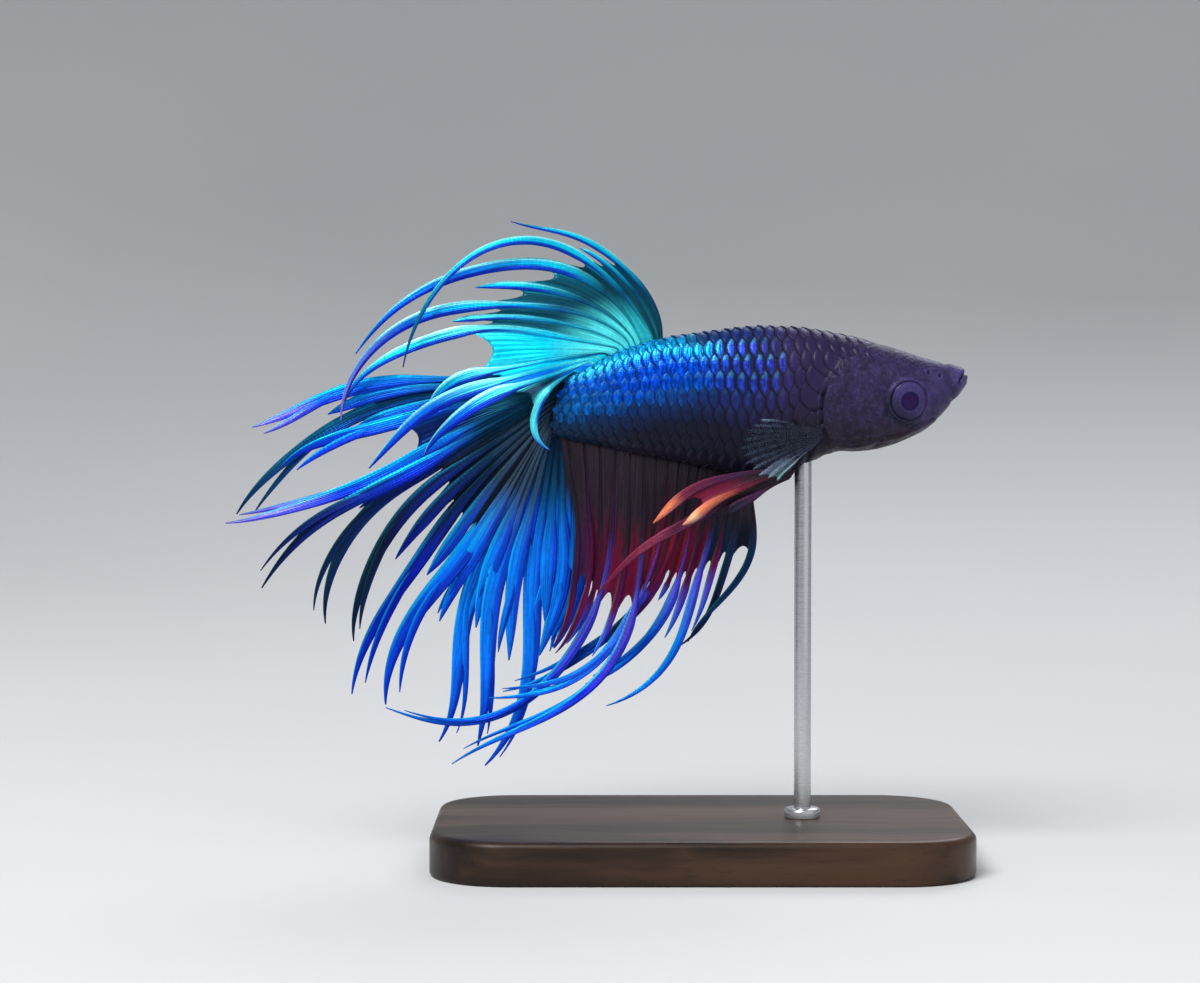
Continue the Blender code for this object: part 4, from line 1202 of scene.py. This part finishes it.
def resampled(values, places, stage):
    """Three columns of values, given at the stages, read off at other places by
    straight pieces between them."""
    return np.array([np.interp(places, stage, values[:, k]) for k in range(3)]).T


def ray_fullness(place, broad, slim):
    """Share of the full width: smoothsteps make the rays behind the middle
    fuller by "broad", and the first and last ones finer by "slim"."""
    ends = 1.0 - smoothstep(place / 0.25) + smoothstep((place - 0.86) / 0.12)
    return (1.0 + broad * smoothstep((place - 0.56) / 0.14)) * (1.0 - slim * ends)


def fin_strips(rays, roots, rise, between, broad=0.0, slim=0.0, slight_tones=None):
    """Lines, colours and fullness of all rays, the slighter ones included.

    rise says how far out the sway of a ray is reached, for the rays before 0.6
    of the base and for those behind.  A slighter ray runs midway between its
    neighbours and stops part of the way out; its colour is their mean, or has
    tones of its own.
    """
    stage = stage_of_rows()
    inner, outer = np.minimum(stage, 1.0), np.maximum(stage - 1.0, 0.0)
    lines, colours, full = [], [], []
    for ray, root in zip(rays, roots):
        dense = ray_line(root, ray, rise[0] if ray[0] < 0.6 else rise[1])
        held = ray[7] / ray[3]
        t = inner * held + outer * (1.0 - held)
        lines.append(resampled(dense, t, np.linspace(0.0, 1.0, len(dense))))
        colours.append(tone_curve(ray[8], stage))
        full.append(ray_fullness(ray[0], broad, slim))
    for gap in sorted(between, reverse=True):
        short = inner + outer * between[gap]
        middle = 0.5 * (lines[gap] + lines[gap + 1])
        shade = resampled(0.5 * (colours[gap] + colours[gap + 1]), short, stage)
        slight = 0.40 + 0.45 * min(between[gap] / 0.3, 1.0)
        lines.insert(gap + 1, resampled(middle, short, stage))
        colours.insert(gap + 1, tone_curve(slight_tones, stage) if slight_tones else shade)
        full.insert(gap + 1, slight * 0.5 * (full[gap] + full[gap + 1]))
    return np.array(lines), np.array(colours), np.array(full)


def sunk_roots(lines, sink, drop):
    """One more row before the first, back into the body and lower by drop."""
    way = unit(lines[:, 1] - lines[:, 0])
    first = lines[:, 0] - sink * way - np.array([0.0, 0.0, drop])
    return np.concatenate([first[:, None], lines], axis=1)


def half_widths(lines, full, stage, look):
    """Half widths of the rays, and of where the webs hang on them.

    A ray is narrow at its root, full near the web's edge by a smoothstep, and
    fine at its tip by a power of the way past the web.  Within the web it keeps
    to a share of the way to the next ray, "room" at the root and beyond, until
    "free" lets it grow over its neighbours.
    """
    stage = stage[None, :]
    swell = smoothstep((np.clip(stage, 0.0, 1.0) + 0.04) * 0.96)
    past = np.clip(stage - 1.0, 0.0, 1.0) ** 2.2
    width = look["width"] * (0.12 + 0.88 * swell) * (1.0 - past) + look["tip"] * past
    width = width * full[:, None]
    apart = np.linalg.norm(np.diff(lines, axis=0)[..., (0, 2)], axis=2)
    room = look["room"]
    apart = apart * (room[0] + (room[1] - room[0]) * smoothstep(stage / 0.4))
    near = np.full(width.shape, 99.0)
    near[:-1] = np.minimum(near[:-1], apart)
    near[1:] = np.minimum(near[1:], apart)
    begin, over = look["free"]
    loose = smoothstep((stage - begin) / over)
    held = np.maximum(np.minimum(width, near), 0.05)
    return np.maximum(np.minimum(width, near * (1.0 - loose) + width * loose), 0.05), held


def ray_frames(lines, twist):
    """Across and outward directions of every row, turned about the ray by twist."""
    along = unit(np.gradient(lines, axis=1))
    side = unit(np.stack([-along[..., 2], 0.0 * along[..., 0], along[..., 0]], axis=-1))
    out = unit(np.cross(along, side))
    c, s = np.cos(twist)[..., None], np.sin(twist)[..., None]
    return side * c + out * s, out * c - side * s


def edge_light(colours, up, strength, look):
    """Painted highlight along the edge that faces up, paler, and painted shade along
    the edge that faces down, deeper: smoothsteps of how far a point faces up,
    weaker on dark tones."""
    share = strength * np.clip(0.12 + 1.5 * colours.max(axis=-1), 0.0, 1.0)
    high = look["edges"][0] * share * smoothstep((up - 0.35) / 0.4)
    low = look["edges"][1] * share * smoothstep((-up + 0.05) / 0.4)
    return mix(mix(colours, tone(look["high"]), high), tone(look["low"]), low)


def ray_strips(lines, width, colours, twist, stage, look, index):
    """Joined strips along rays, turned about the ray's line by twist.

    Across a ray, c runs -1..1.  The section is a lens, the root of one less the
    square of c, with two raised ridges, bells about c = 0.42 to either side,
    and it is cupped a little by the square of c.  Also gives the length run
    along each ray, in mm / 10, for the map.
    """
    across, out = ray_frames(lines, twist)
    free = np.clip(stage - 1.0, 0.0, 1.0)[None, :]
    c = np.linspace(-1.0, 1.0, RAY_COLUMNS)[None, None, :]
    lens = np.sqrt(np.clip(1.0 - c * c, 0.0, 1.0))
    body = look["thick"] * (0.55 + 0.45 * smoothstep(stage / 0.8)) * (1.0 - 0.65 * free)
    thick = 0.035 + 0.5 * body[..., None] * lens * np.minimum(width * 2.2, 1.0)[..., None]
    thick = thick + look["ridge"] * bell(np.abs(c) - 0.42, 0.2) * (1.0 - free)[..., None]
    centre = lines[:, :, None] + across[:, :, None] * (width[..., None] * c)[..., None]
    cup = 0.22 * width[..., None] * (c * c - 0.4) * smoothstep(stage)[None, :, None]
    centre = centre + out[:, :, None] * cup[..., None]
    raised = out[:, :, None] * thick[..., None]
    verts, faces = shells(centre + raised, centre - raised)
    # painted highlight on the edge of each ray that faces the light, painted shade on the other
    # edge
    ahead = across[..., 0] * look["light"][0] + across[..., 2] * look["light"][1]
    strip = np.broadcast_to(colours[:, :, None], centre.shape)
    strength = 0.3 + 0.7 * smoothstep((stage - 0.45) / 0.45)[None, :, None]
    strip = edge_light(strip, ahead[..., None] * c, strength, look)
    paint = np.concatenate([strip, np.zeros(strip.shape[:-1] + (1,))], axis=-1)
    step = np.linalg.norm(np.diff(lines, axis=1), axis=2)
    run = np.concatenate([np.zeros((len(lines), 1)), np.cumsum(step, axis=1)], axis=1) / 10.0
    x = 0.5 + 0.5 * c + UV_SPACING * index[..., None]
    uv = np.stack(np.broadcast_arrays(x, run[..., None]), axis=-1)
    return run, (verts, faces, doubled(uv), doubled(paint))


def branch_strips(lines, width, colours, twist, stage, look, full):
    """Second, finer ends: each follows its ray, then swings slowly aside by a
    smoothstep and stops a little short of the ray's own tip."""
    chosen = np.flatnonzero(full > 0.95)
    start, stop = np.searchsorted(stage, (BRANCH_FROM, BRANCH_TO))
    rows = slice(start, stop)
    part = smoothstep((stage[rows] - BRANCH_FROM) / (BRANCH_WIDE - BRANCH_FROM))[None, :]
    across, out = ray_frames(lines[chosen], 0.0 * twist[chosen])
    swing = look["split"] * np.where(chosen % 2 == 0, 1.0, -0.8)
    swing = swing * (0.75 + 0.35 * np.sin(3.7 * chosen))
    lift = 0.28 * np.cos(1.9 * chosen)[:, None] * part
    path = lines[chosen][:, rows] + across[:, rows] * (swing[:, None] * part)[..., None]
    path = path + out[:, rows] * lift[..., None]
    end = np.linspace(0.0, 1.0, stop - start)[None, :]
    fine = 0.55 * look["width"] * (1.0 - end ** 3.0) * smoothstep(end / 0.25)
    fine = np.minimum(fine, width[chosen][:, rows] * 1.2) + 0.7 * look["tip"]
    turn = twist[chosen][:, rows] + 0.3 * part
    _, made = ray_strips(path, fine, colours[chosen][:, rows], turn, stage[rows], look,
                         chosen[:, None] + 40.0)
    return made


def web_edges(lines, held_width, twist, held):
    """The two long edges of every web: each hangs on the side of its ray that
    faces the other ray, 0.8 of the ray's half width out from its line."""
    across, _ = ray_frames(lines, twist)
    reach = (0.8 * held_width[..., None] * across)[:, :held]
    sides = lines[:, :held] - reach, lines[:, :held] + reach
    k = held // 2
    straight = np.linalg.norm(sides[1][:-1, k] - sides[0][1:, k], axis=1)
    crossed = np.linalg.norm(sides[0][:-1, k] - sides[1][1:, k], axis=1)
    closer = (straight < crossed)[:, None, None]
    return (np.where(closer, sides[1][:-1], sides[0][:-1]),
            np.where(closer, sides[0][1:], sides[1][1:]))


def web_paint(stage, c, rays, webs, look):
    """Tones of the webs: from root tone to edge tone by a smoothstep of the
    stage, nearer to the rays' own tone beside them by a cube; the alpha, a sine
    across the web, says how thin it is."""
    named = np.array([[tone(t) for t in pair.split()] for pair in webs])
    blend = smoothstep((stage - look["base"]) / 0.38)[..., None]
    web = named[:, None, None, 0] * (1 - blend) + named[:, None, None, 1] * blend
    hug = (np.abs(2.0 * c - 1.0) ** 3.0)[None, None, :, None]
    web = web * (1 - 0.6 * hug) + rays * 0.6 * hug
    thin = np.broadcast_to(np.sin(np.pi * c)[None, None, :, None], web.shape[:-1] + (1,))
    return np.concatenate([web, 0.35 + 0.65 * thin], axis=-1)


def make_webs(lines, held_width, twist, colours, webs, run, look):
    """Thin sheets between neighbouring rays, from edge to edge in straight lines.

    c runs 0..1 across.  The outer end is drawn back by a power of a sine of c,
    the sheet bellies to one side by a sine, and three faint ribs, the cube of a
    sine of three half waves, thicken it.
    """
    held = WEB_ROWS + 2
    count = len(lines) - 1
    c = np.linspace(0.0, 1.0, WEB_COLUMNS)
    edge_a, edge_b = web_edges(lines, held_width, twist, held)
    depth = np.broadcast_to(look["notch"], (count,))[:, None, None]
    reach = 1.0 - depth * np.sin(np.pi * c) ** 0.8
    outer = np.arange(held) / (held - 1.0)
    row = (held - 1.0) * outer[None, :, None] * reach
    r = np.minimum(row.astype(int), held - 2)
    part = (row - r)[..., None]
    gap = np.arange(count)[:, None, None]
    share = c[None, None, :, None]
    along_a = edge_a[gap, r] * (1 - part) + edge_a[gap, r + 1] * part
    along_b = edge_b[gap, r] * (1 - part) + edge_b[gap, r + 1] * part
    sheet = along_a * (1 - share) + along_b * share
    slack = look["slack"] * np.sin(np.pi * c)[None, :] * outer[:, None]
    sheet[..., 1] += slack[None] * np.where(gap % 2 == 0, 1.0, -1.0)
    normal = unit(np.cross(np.gradient(sheet, axis=1), np.gradient(sheet, axis=2)))
    ribs = np.abs(np.sin(3.0 * np.pi * c)) ** 3
    thick = normal * (0.035 + 0.03 * ribs)[None, None, :, None]
    verts, faces = shells(sheet + thick, sheet - thick)
    rays = colours[:-1][gap, r] * (1 - share) + colours[1:][gap, r] * share
    paint = web_paint(outer[None, :, None] * reach, c, rays, webs, look)
    x = c[None, None, :] + 0.9 + UV_SPACING * gap
    uv = np.stack(np.broadcast_arrays(x, run[:-1][gap, r]), axis=-1)
    return verts, faces, doubled(uv), doubled(paint)


def make_fin(name, material, replaced, strips, webs, look):
    """Rays, their finer second ends and the webs of one fin, joined as one mesh.

    Rays stand to either side in turn by the pleat, and the free ends turn about
    their lines by a twist that waves along them, another phase for each ray.
    """
    lines, colours, full = strips
    stage = np.r_[-0.04, stage_of_rows()]
    lines = sunk_roots(lines, look["sink"], look["drop"])
    colours = np.concatenate([colours[:, :1], colours], axis=1)
    index = np.arange(len(lines))[:, None]
    free = np.clip(stage - 1.0, 0.0, 1.0)[None, :]
    pleat = look["pleat"] * smoothstep(stage / 0.9)[None, :] * (1.0 - 0.6 * free)
    lines[..., 1] += pleat * np.where(index % 2 == 0, 1.0, -1.0)
    width, held_width = half_widths(lines, full, stage, look)
    spin = np.sin(2.4 * index + look["phase"])
    twist = look["twist"] * spin * smoothstep(free / 0.5) * np.cos(2.2 * free + index)
    run, rays = ray_strips(lines, width, colours, twist, stage, look, index)
    parts = [rays, make_webs(lines, held_width, twist, colours, webs, run, look)]
    if look["split"] > 0.0:
        parts.append(branch_strips(lines, width, colours, twist, stage, look, full))
    verts, faces, uv, paint = zip(*parts)
    offset = np.cumsum([0] + [len(part) for part in verts])
    faces = [quads + start for quads, start in zip(faces, offset)]
    return make_piece(name, np.concatenate(verts), faces, material, replaced,
                      {"fin": np.concatenate(uv)}, {"tone": np.concatenate(paint)})


def expand_webs(values, between):
    """One value for each web: a gap with a slighter ray gives its own twice."""
    return [value for k, value in enumerate(values) for _ in range(2 if k in between else 1)]


def edge_roots(rays, base, angle, lift):
    """Ray roots along the back or the belly: evenly by place between the base's
    two ends, on the midline's edge and lifted off it."""
    x = base[0] + (base[1] - base[0]) * np.array([ray[0] for ray in rays])
    return np.stack([x, 0.0 * x, midline(x, angle) + lift], axis=1)


def make_dorsal():
    """Dorsal fin: its rear roots move to the right flank and lower down."""
    roots = edge_roots(DORSAL_RAYS, DORSAL_BASE, 90.0, BASE_GAP)
    share = smoothstep((np.array([ray[0] for ray in DORSAL_RAYS]) - 0.6) / 0.4)
    roots[:, 1] -= 1.0 * share
    roots[:, 2] -= 0.7 * share ** 2
    strips = fin_strips(DORSAL_RAYS, roots, (0.9, 0.35), DORSAL_BETWEEN, broad=0.25, slim=0.42)
    # high and low: tones of the painted highlight and the painted shade along the rays' edges
    look = dict(FIN_LOOK, width=0.72, tip=0.07, thick=0.44, ridge=0.035, pleat=0.16,
                twist=0.5, notch=0.13, light=(-0.25, 0.97), high="foam", edges=(0.8, 0.95),
                base=0.14, room=(0.40, 0.22), free=(0.8, 0.35), drop=1.2)
    make_fin("dorsal_fin_web", fin_material("betta_dorsal"), ("dorsal_fin",),
             strips, expand_webs(DORSAL_WEBS, DORSAL_BETWEEN), look)


def make_caudal():
    """Tail fin: its roots follow the end of the stalk from top to bottom."""
    place = np.array([ray[0] for ray in CAUDAL_RAYS])
    x = flow(place, CAUDAL_BASE[:, 0], CAUDAL_BASE[:, 1])
    z = flow(place, CAUDAL_BASE[:, 0], CAUDAL_BASE[:, 2])
    roots = np.stack([x, 0.0 * x, z], axis=1)
    strips = fin_strips(CAUDAL_RAYS, roots, (0.9, 0.9), CAUDAL_BETWEEN, broad=0.35)
    look = dict(FIN_LOOK, width=0.86, tip=0.07, thick=0.46, ridge=0.04, pleat=0.18,
                twist=0.55, notch=expand_webs(CAUDAL_NOTCH, CAUDAL_BETWEEN),
                edges=(0.55, 0.8), base=0.35, split=1.5, room=(0.40, 0.34),
                free=(0.4, 0.6), phase=0.7)
    make_fin("caudal_fin_web", fin_material("betta_caudal"), ("caudal_fin",),
             strips, expand_webs(CAUDAL_WEBS, CAUDAL_BETWEEN), look)


def make_anal():
    """Anal fin: a long fringe along the belly."""
    roots = edge_roots(ANAL_RAYS, ANAL_BASE, -90.0, -BASE_GAP)
    strips = fin_strips(ANAL_RAYS, roots, (0.9, 0.9), ANAL_BETWEEN, slim=0.3,
                        slight_tones=SLIGHT_ANAL_TONES)
    look = dict(FIN_LOOK, width=0.62, tip=0.06, thick=0.42, ridge=0.035, pleat=0.16,
                twist=0.5, notch=0.11, edges=(0.6, 0.7), base=0.34, split=1.2,
                room=(0.30, 0.22), free=(0.8, 0.35), phase=1.9)
    make_fin("anal_fin_web", fin_material("betta_anal"), ("anal_fin",),
             strips, expand_webs(ANAL_WEBS, ANAL_BETWEEN), look)


def paired_strips(rays, root, rise, between, side):
    """Strips of a fin rooted on the flank: worked out on the right side, with the
    sway outward, and mirrored for the left."""
    place = np.array([ray[0] for ray in rays])[:, None]
    roots = root[0] + (root[1] - root[0]) * place
    outward = [ray[:6] + (-ray[6],) + ray[7:] for ray in rays]
    lines, colours, full = fin_strips(outward, roots, (rise, rise), between)
    return lines * np.array([1.0, -side, 1.0]), colours, full


def make_pelvic(name, side, material):
    """One of the two belly fins: four rays, the third drawn out far past the webs."""
    # high and low: tones of the painted highlight and the painted shade along the rays' edges
    look = dict(FIN_LOOK, width=0.60, tip=0.05, thick=0.28, ridge=0.03, pleat=0.1,
                twist=0.3, notch=0.1, slack=0.12, light=(-0.3, 0.95), high="highlight_rose",
                low="plum", edges=(0.45, 0.7), base=0.3, sink=1.2, room=(0.42, 0.40),
                free=(0.5, 0.5))
    strips = paired_strips(PELVIC_RAYS, PELVIC_ROOT, 1.4, {}, side)
    make_fin("pelvic_web_" + name, material, ("pelvic_fin_" + name,),
             strips, PELVIC_WEBS, look)


def make_pectoral(name, side, material):
    """One of the two see-through fins behind the gill covers: a fan of fine rays."""
    # high and low: tones of the painted highlight and the painted shade along the rays' edges
    look = dict(FIN_LOOK, width=0.13, tip=0.05, thick=0.14, ridge=0.0, pleat=0.03,
                twist=0.1, notch=0.03, slack=0.06, light=(-0.3, 0.95), high="mist",
                low="slate", edges=(0.3, 0.4), base=0.3, sink=0.7)
    strips = paired_strips(PECTORAL_RAYS, PECTORAL_ROOT, 2.0, PECTORAL_BETWEEN, side)
    make_fin("pectoral_web_" + name, material, ("pectoral_fin_" + name,),
             strips, expand_webs(PECTORAL_WEBS, PECTORAL_BETWEEN), look)


def make_fins():
    """The three fins on the midline, then the two pairs on the flanks."""
    make_dorsal()
    make_caudal()
    make_anal()
    pelvic = fin_material("betta_pelvic", 0.6, 0.2)
    pectoral = fin_material("betta_pectoral", 0.4, 0.0, cover=(0.07, 0.36))
    for name, side in (("right", -1.0), ("left", 1.0)):
        make_pelvic(name, side, pelvic)
        make_pectoral(name, side, pectoral)


# ---- eyes ------------------------------------------------------------------------------------
PUPIL = 1.10             # radius of the pupil
IRIS = 2.06              # outer radius of the iris
DOME = 2.2               # radius where the wet dome turns over into the orbit
EYE_FRONT = 1.24         # height of the iris's edge over the ball's middle
EYE_BULGE = 0.48         # how far the wet dome stands over that
LENS_BULGE = 0.05        # how far the lens swells over the dome


def turned(profile, centre, axis, steps=72):
    """A profile of (radius, height) turned about an axis through centre: radius
    times cosine and sine of even angles, plus height along the axis."""
    axis = unit(np.asarray(axis, float))
    aside = np.array([0.0, 0.0, 1.0]) if abs(axis[2]) < 0.9 else np.array([1.0, 0.0, 0.0])
    first = unit(np.cross(axis, aside))
    second = np.cross(axis, first)
    t = np.linspace(0.0, 2 * np.pi, steps, endpoint=False)
    ring = np.cos(t)[:, None] * first + np.sin(t)[:, None] * second
    r, h = np.asarray(profile, float).T
    return centre + r[:, None, None] * ring[None] + h[:, None, None] * axis


def closed_turning(name, grid, material, replaced, uvs=None, tones=None):
    """Close a turned grid with a point at each end, and turn its faces outward:
    the volume, the sum of every triangle's triple product, has to be positive."""
    rows, cols, _ = grid.shape
    verts = np.concatenate([grid.reshape(-1, 3), [grid[0].mean(0)], [grid[-1].mean(0)]])
    faces = quads, first, last = tube_faces(rows, cols)
    halves = np.concatenate([quads[:, :3], quads[:, [0, 2, 3]], first, last])
    a, b, e = verts[halves].transpose(1, 0, 2)
    if np.einsum("ij,ij->i", a, np.cross(b, e)).sum() < 0.0:
        faces = [f[:, ::-1] for f in faces]
    return make_piece(name, verts, faces, material, replaced, uvs, tones)


def eye_profile():
    """Radii and heights from the pupil's middle to the back of the eyeball.

    The dome's height falls as one less a power of the radius, itself to a power,
    so that its edge turns over smoothly into the orbit; the lens adds one less
    the square of the radius over the pupil's; the ball's round side goes back as
    part of an ellipse.  Also gives how many rings lie on the dome.
    """
    ball, deep = EYE_RADIUS[0], EYE_RADIUS[1]
    r = np.r_[0.05, np.linspace(0.12, PUPIL - 0.1, 7), np.linspace(PUPIL - 0.06, PUPIL + 0.06, 5),
              np.linspace(PUPIL + 0.12, IRIS - 0.06, 10), np.linspace(IRIS, DOME, 6)]
    h = EYE_FRONT + EYE_BULGE * (1.0 - (r / DOME) ** 2.6) ** 0.6
    h = h + LENS_BULGE * np.clip(1.0 - (r / PUPIL) ** 2, 0.0, 1.0)
    around = np.linspace(np.arcsin(min(DOME / ball, 0.98)), np.pi - 0.15, 14)
    back = np.stack([ball * np.sin(around), deep * np.cos(around) + 0.10], axis=1)
    return np.concatenate([np.stack([r, h], axis=1), back]), len(r)


def eye_tones(reach, dark):
    """Tones by distance from the pupil's middle: pupil with a faint wine glow, a
    painted reflection, then the iris, paler near the pupil, and paler where it
    looks up and forward and near its outer edge there, a painted highlight;
    darker behind and below, a painted shade, and night at the orbit, a painted
    shade deepest behind and below.  The alpha is 0 on the pupil and 1 outside it."""
    plain = np.ones(reach.shape + (3,))
    # painted reflection: a faint wine ring in the pupil
    lens = mix(tone("pupil") * plain, tone("wine"), 0.09 * bell(reach - 0.5, 0.35))
    layers = (
        # painted highlight where the eye looks up and forward, painted shade behind and below
        ("lip", 0.42 * (1.0 - dark)),
        ("night", 0.30 * dark),
        ("lip", 0.18 * bell(reach - PUPIL - 0.14, 0.1)),
        ("lip", 0.3 * bell(reach - IRIS + 0.2, 0.2) * (1.0 - dark)),
        # painted shade where the eye turns over into the orbit, deepest behind and below
        ("night", (0.1 + 0.7 * dark) * smoothstep((reach - IRIS + 0.04) / 0.16)),
    )
    ring = layered(tone("iris") * plain, layers)
    outside = smoothstep((reach - PUPIL + 0.06) / 0.12)
    return np.concatenate([mix(lens, ring, outside), outside[..., None]], axis=-1)


def make_eye(name, side, material):
    """One eyeball: its profile turned about an axis that looks aside, a little
    forward and a little down."""
    axis = unit(np.array([0.24, side, -0.10]))
    centre = EYE_CENTRE * np.array([1.0, -side, 1.0]) - EYE_FRONT * axis * (1.0, 0.0, 1.0)
    profile, domed = eye_profile()
    grid = turned(profile, centre, axis)
    r = profile[:, 0].copy()
    r[domed:] = 9.0
    cols = grid.shape[1]
    # share of the painted shade on the eye, behind and below it
    dark = below_eye(grid[..., 0], grid[..., 2])
    paint = eye_tones(np.repeat(r[:, None], cols, axis=1), dark).reshape(-1, 4)
    paint = np.concatenate([paint, paint[:1], paint[-1:]])
    # the spokes' map folds back on itself halfway, so it has no seam
    turn = 1.0 - np.abs(2.0 * np.arange(cols) / cols - 1.0)
    run = np.minimum(r, 2.5) / 2.5
    uv = np.stack(np.broadcast_arrays(turn[None], run[:, None]), axis=-1).reshape(-1, 2)
    uv = np.concatenate([uv, [[0.0, 0.0], [0.0, 1.0]]])
    closed_turning("eyeball_" + name, grid, material, ("eye_" + name,),
                   {"ring": uv}, {"tone": paint})


# ---- stand -----------------------------------------------------------------------------------
BOARD_CORNER = 9.0
BOARD_EASE = 0.9         # radius of the board's upper edge
COLLAR = 1.1             # how far the rod's collar stands out


def rounded_ring(half_x, half_y, corner, z, steps=24):
    """Rectangle with round corners at one height, counter-clockwise from above:
    a quarter circle about the middle of each corner."""
    t = np.linspace(0.0, 0.5 * np.pi, steps)
    rows = []
    for turn, (sx, sy) in enumerate(((1, 1), (-1, 1), (-1, -1), (1, -1))):
        a = t + 0.5 * np.pi * turn
        rows.append(np.stack([sx * (half_x - corner) + corner * np.cos(a),
                              sy * (half_y - corner) + corner * np.sin(a),
                              np.full(steps, z)], axis=1))
    return np.concatenate(rows)


def make_board():
    """Board: a rounded rectangle carried up through levels of height and inset,
    with a small bevel below and a quarter round above."""
    low, high = span("stand_base")
    half = 0.5 * (high - low)
    top = half[2] * 2
    levels = [(0.0, 0.45), (0.15, 0.15), (0.45, 0.0)]
    for a in np.linspace(0.0, 0.5 * np.pi, 7):
        levels.append((top - BOARD_EASE + BOARD_EASE * np.sin(a), BOARD_EASE * (1 - np.cos(a))))
    levels += [(top, inset) for inset in (1.6, 4.0, 8.0)]
    grid = np.array([rounded_ring(half[0] - inset, half[1] - inset,
                                  max(BOARD_CORNER - inset, 0.8), z)
                     for z, inset in reversed(levels)])
    grid[..., :2] += 0.5 * (high + low)[:2]
    closed_turning("stand_board_wood", grid, wood_material(), ("stand_base",))


def make_rod():
    """Rod with its collar on the board: one profile of radii and heights turned
    about the rod's own line, edges kept sharp."""
    low, high = span("stand_rod")
    x, y = 0.5 * (low + high)[:2]
    radius = 0.5 * (high - low)[0]
    board = span("stand_base")[1][2]
    profile = [(0.05, high[2]), (radius - 0.25, high[2]), (radius - 0.07, high[2] - 0.07),
               (radius, high[2] - 0.25), (radius, board + 1.15), (radius + 0.9, board + 1.1),
               (radius + 1.05, board + 0.95), (radius + COLLAR, board + 0.7),
               (radius + COLLAR, board + 0.05), (radius + 1.0, board - 0.03),
               (radius, board - 0.1), (radius, low[2] + 0.2), (0.05, low[2] + 0.1)]
    grid = turned(profile, np.array([x, y, 0.0]), (0, 0, 1))
    rod = closed_turning("stand_rod_steel", grid, steel_material(),
                         ("stand_rod",))
    rod.data.set_sharp_from_angle(angle=np.radians(50.0))


# ---- floor, light and camera ----------------------------------------------------------------
VIEW_WIDTH = 139.8       # width of the view at the fish's own plane
VIEW_CENTRE = (-11.65, 0.0, 43.1)
LENS = 85.0
SENSOR = 36.0
TILT = 2.0               # how far the camera looks down, degrees
FLOOR_FLAT = 450.0       # radius of the floor's flat part
FLOOR_BEND = 1150.0      # radius of its bend up into the wall
FLOOR_STEPS = 96
LIGHTS = (               # name, place, size, power, colour
    ("key", (-260.0, -420.0, 620.0), 420.0, 6.2, (1.0, 0.985, 0.96)),
    ("fill", (560.0, -620.0, 260.0), 1100.0, 1.5, (0.93, 0.96, 1.0)),
    ("back", (150.0, 520.0, 520.0), 480.0, 1.6, (0.95, 0.97, 1.0)),
)
SKY = (0.90, 0.93, 1.0, 1.0)
SKY_STRENGTH = 0.42


def make_floor():
    """Round sweep: flat to a radius, then a quarter circle up into a wall."""
    flat = np.linspace(0.02, FLOOR_FLAT, 8)
    bend = np.linspace(0.0, 0.5 * np.pi, 40)[1:]
    radius = np.r_[flat, FLOOR_FLAT + FLOOR_BEND * np.sin(bend)]
    height = np.r_[0.0 * flat, FLOOR_BEND * (1.0 - np.cos(bend))]
    t = np.linspace(0.0, 2 * np.pi, FLOOR_STEPS, endpoint=False)
    x = radius[:, None] * np.cos(t)
    y = radius[:, None] * np.sin(t)
    grid = np.stack([x, y, np.repeat(height[:, None], FLOOR_STEPS, axis=1)], axis=-1)
    faces = grid_faces(len(radius), FLOOR_STEPS, wrap=True)
    middle = list(range(FLOOR_STEPS))
    mesh = bpy.data.meshes.new("floor_sweep")
    mesh.from_pydata((grid.reshape(-1, 3) * MM).tolist(), [], faces.tolist() + [middle])
    mesh.shade_smooth()
    mesh.materials.append(floor_material())
    floor = bpy.data.objects.new("floor_sweep", mesh)
    bpy.context.scene.collection.objects.link(floor)


def aim(obj, place, target):
    """Put an object at place (mm) and turn its -Z toward target."""
    start = Vector(place) * MM
    obj.location = start
    way = Vector(target) * MM - start
    obj.rotation_euler = way.to_track_quat("-Z", "Y").to_euler()
    bpy.context.scene.collection.objects.link(obj)


def make_light(name, place, size, power, colour):
    """A round soft light at place (mm), aimed at the view's centre."""
    light = bpy.data.lights.new(name, "AREA")
    light.shape = "DISK"
    light.size = size * MM
    light.energy = power
    light.color = colour
    aim(bpy.data.objects.new(name, light), place, VIEW_CENTRE)


def make_camera():
    """Camera before the right flank: its distance is the view's width times the
    lens over the sensor, and it is raised by the tilt."""
    data = bpy.data.cameras.new("camera")
    data.lens = LENS
    data.sensor_width = SENSOR
    data.clip_start = 0.01
    data.clip_end = 20.0
    distance = VIEW_WIDTH * LENS / SENSOR
    tilt = np.radians(TILT)
    place = (VIEW_CENTRE[0], -distance * np.cos(tilt), VIEW_CENTRE[2] + distance * np.sin(tilt))
    camera = bpy.data.objects.new("camera", data)
    aim(camera, place, VIEW_CENTRE)
    bpy.context.scene.camera = camera


def make_studio():
    """Floor, lights and a pale sky."""
    make_floor()
    for light in LIGHTS:
        make_light(*light)
    world = bpy.data.worlds.new("studio")
    world.use_nodes = True
    sky = world.node_tree.nodes["Background"]
    sky.inputs["Color"].default_value = SKY
    sky.inputs["Strength"].default_value = SKY_STRENGTH
    bpy.context.scene.world = world
    bpy.context.scene.view_settings.view_transform = "Standard"


make_camera()
make_skin(skin_material())
plates = scale_material()
make_scales(plates, "scales_right", 0.0, 0.5)
make_scales(plates, "scales_left", 0.5, 1.0)
make_fins()
wet = eye_material()
make_eye("right", -1.0, wet)
make_eye("left", 1.0, wet)
make_board()
make_rod()
make_studio()
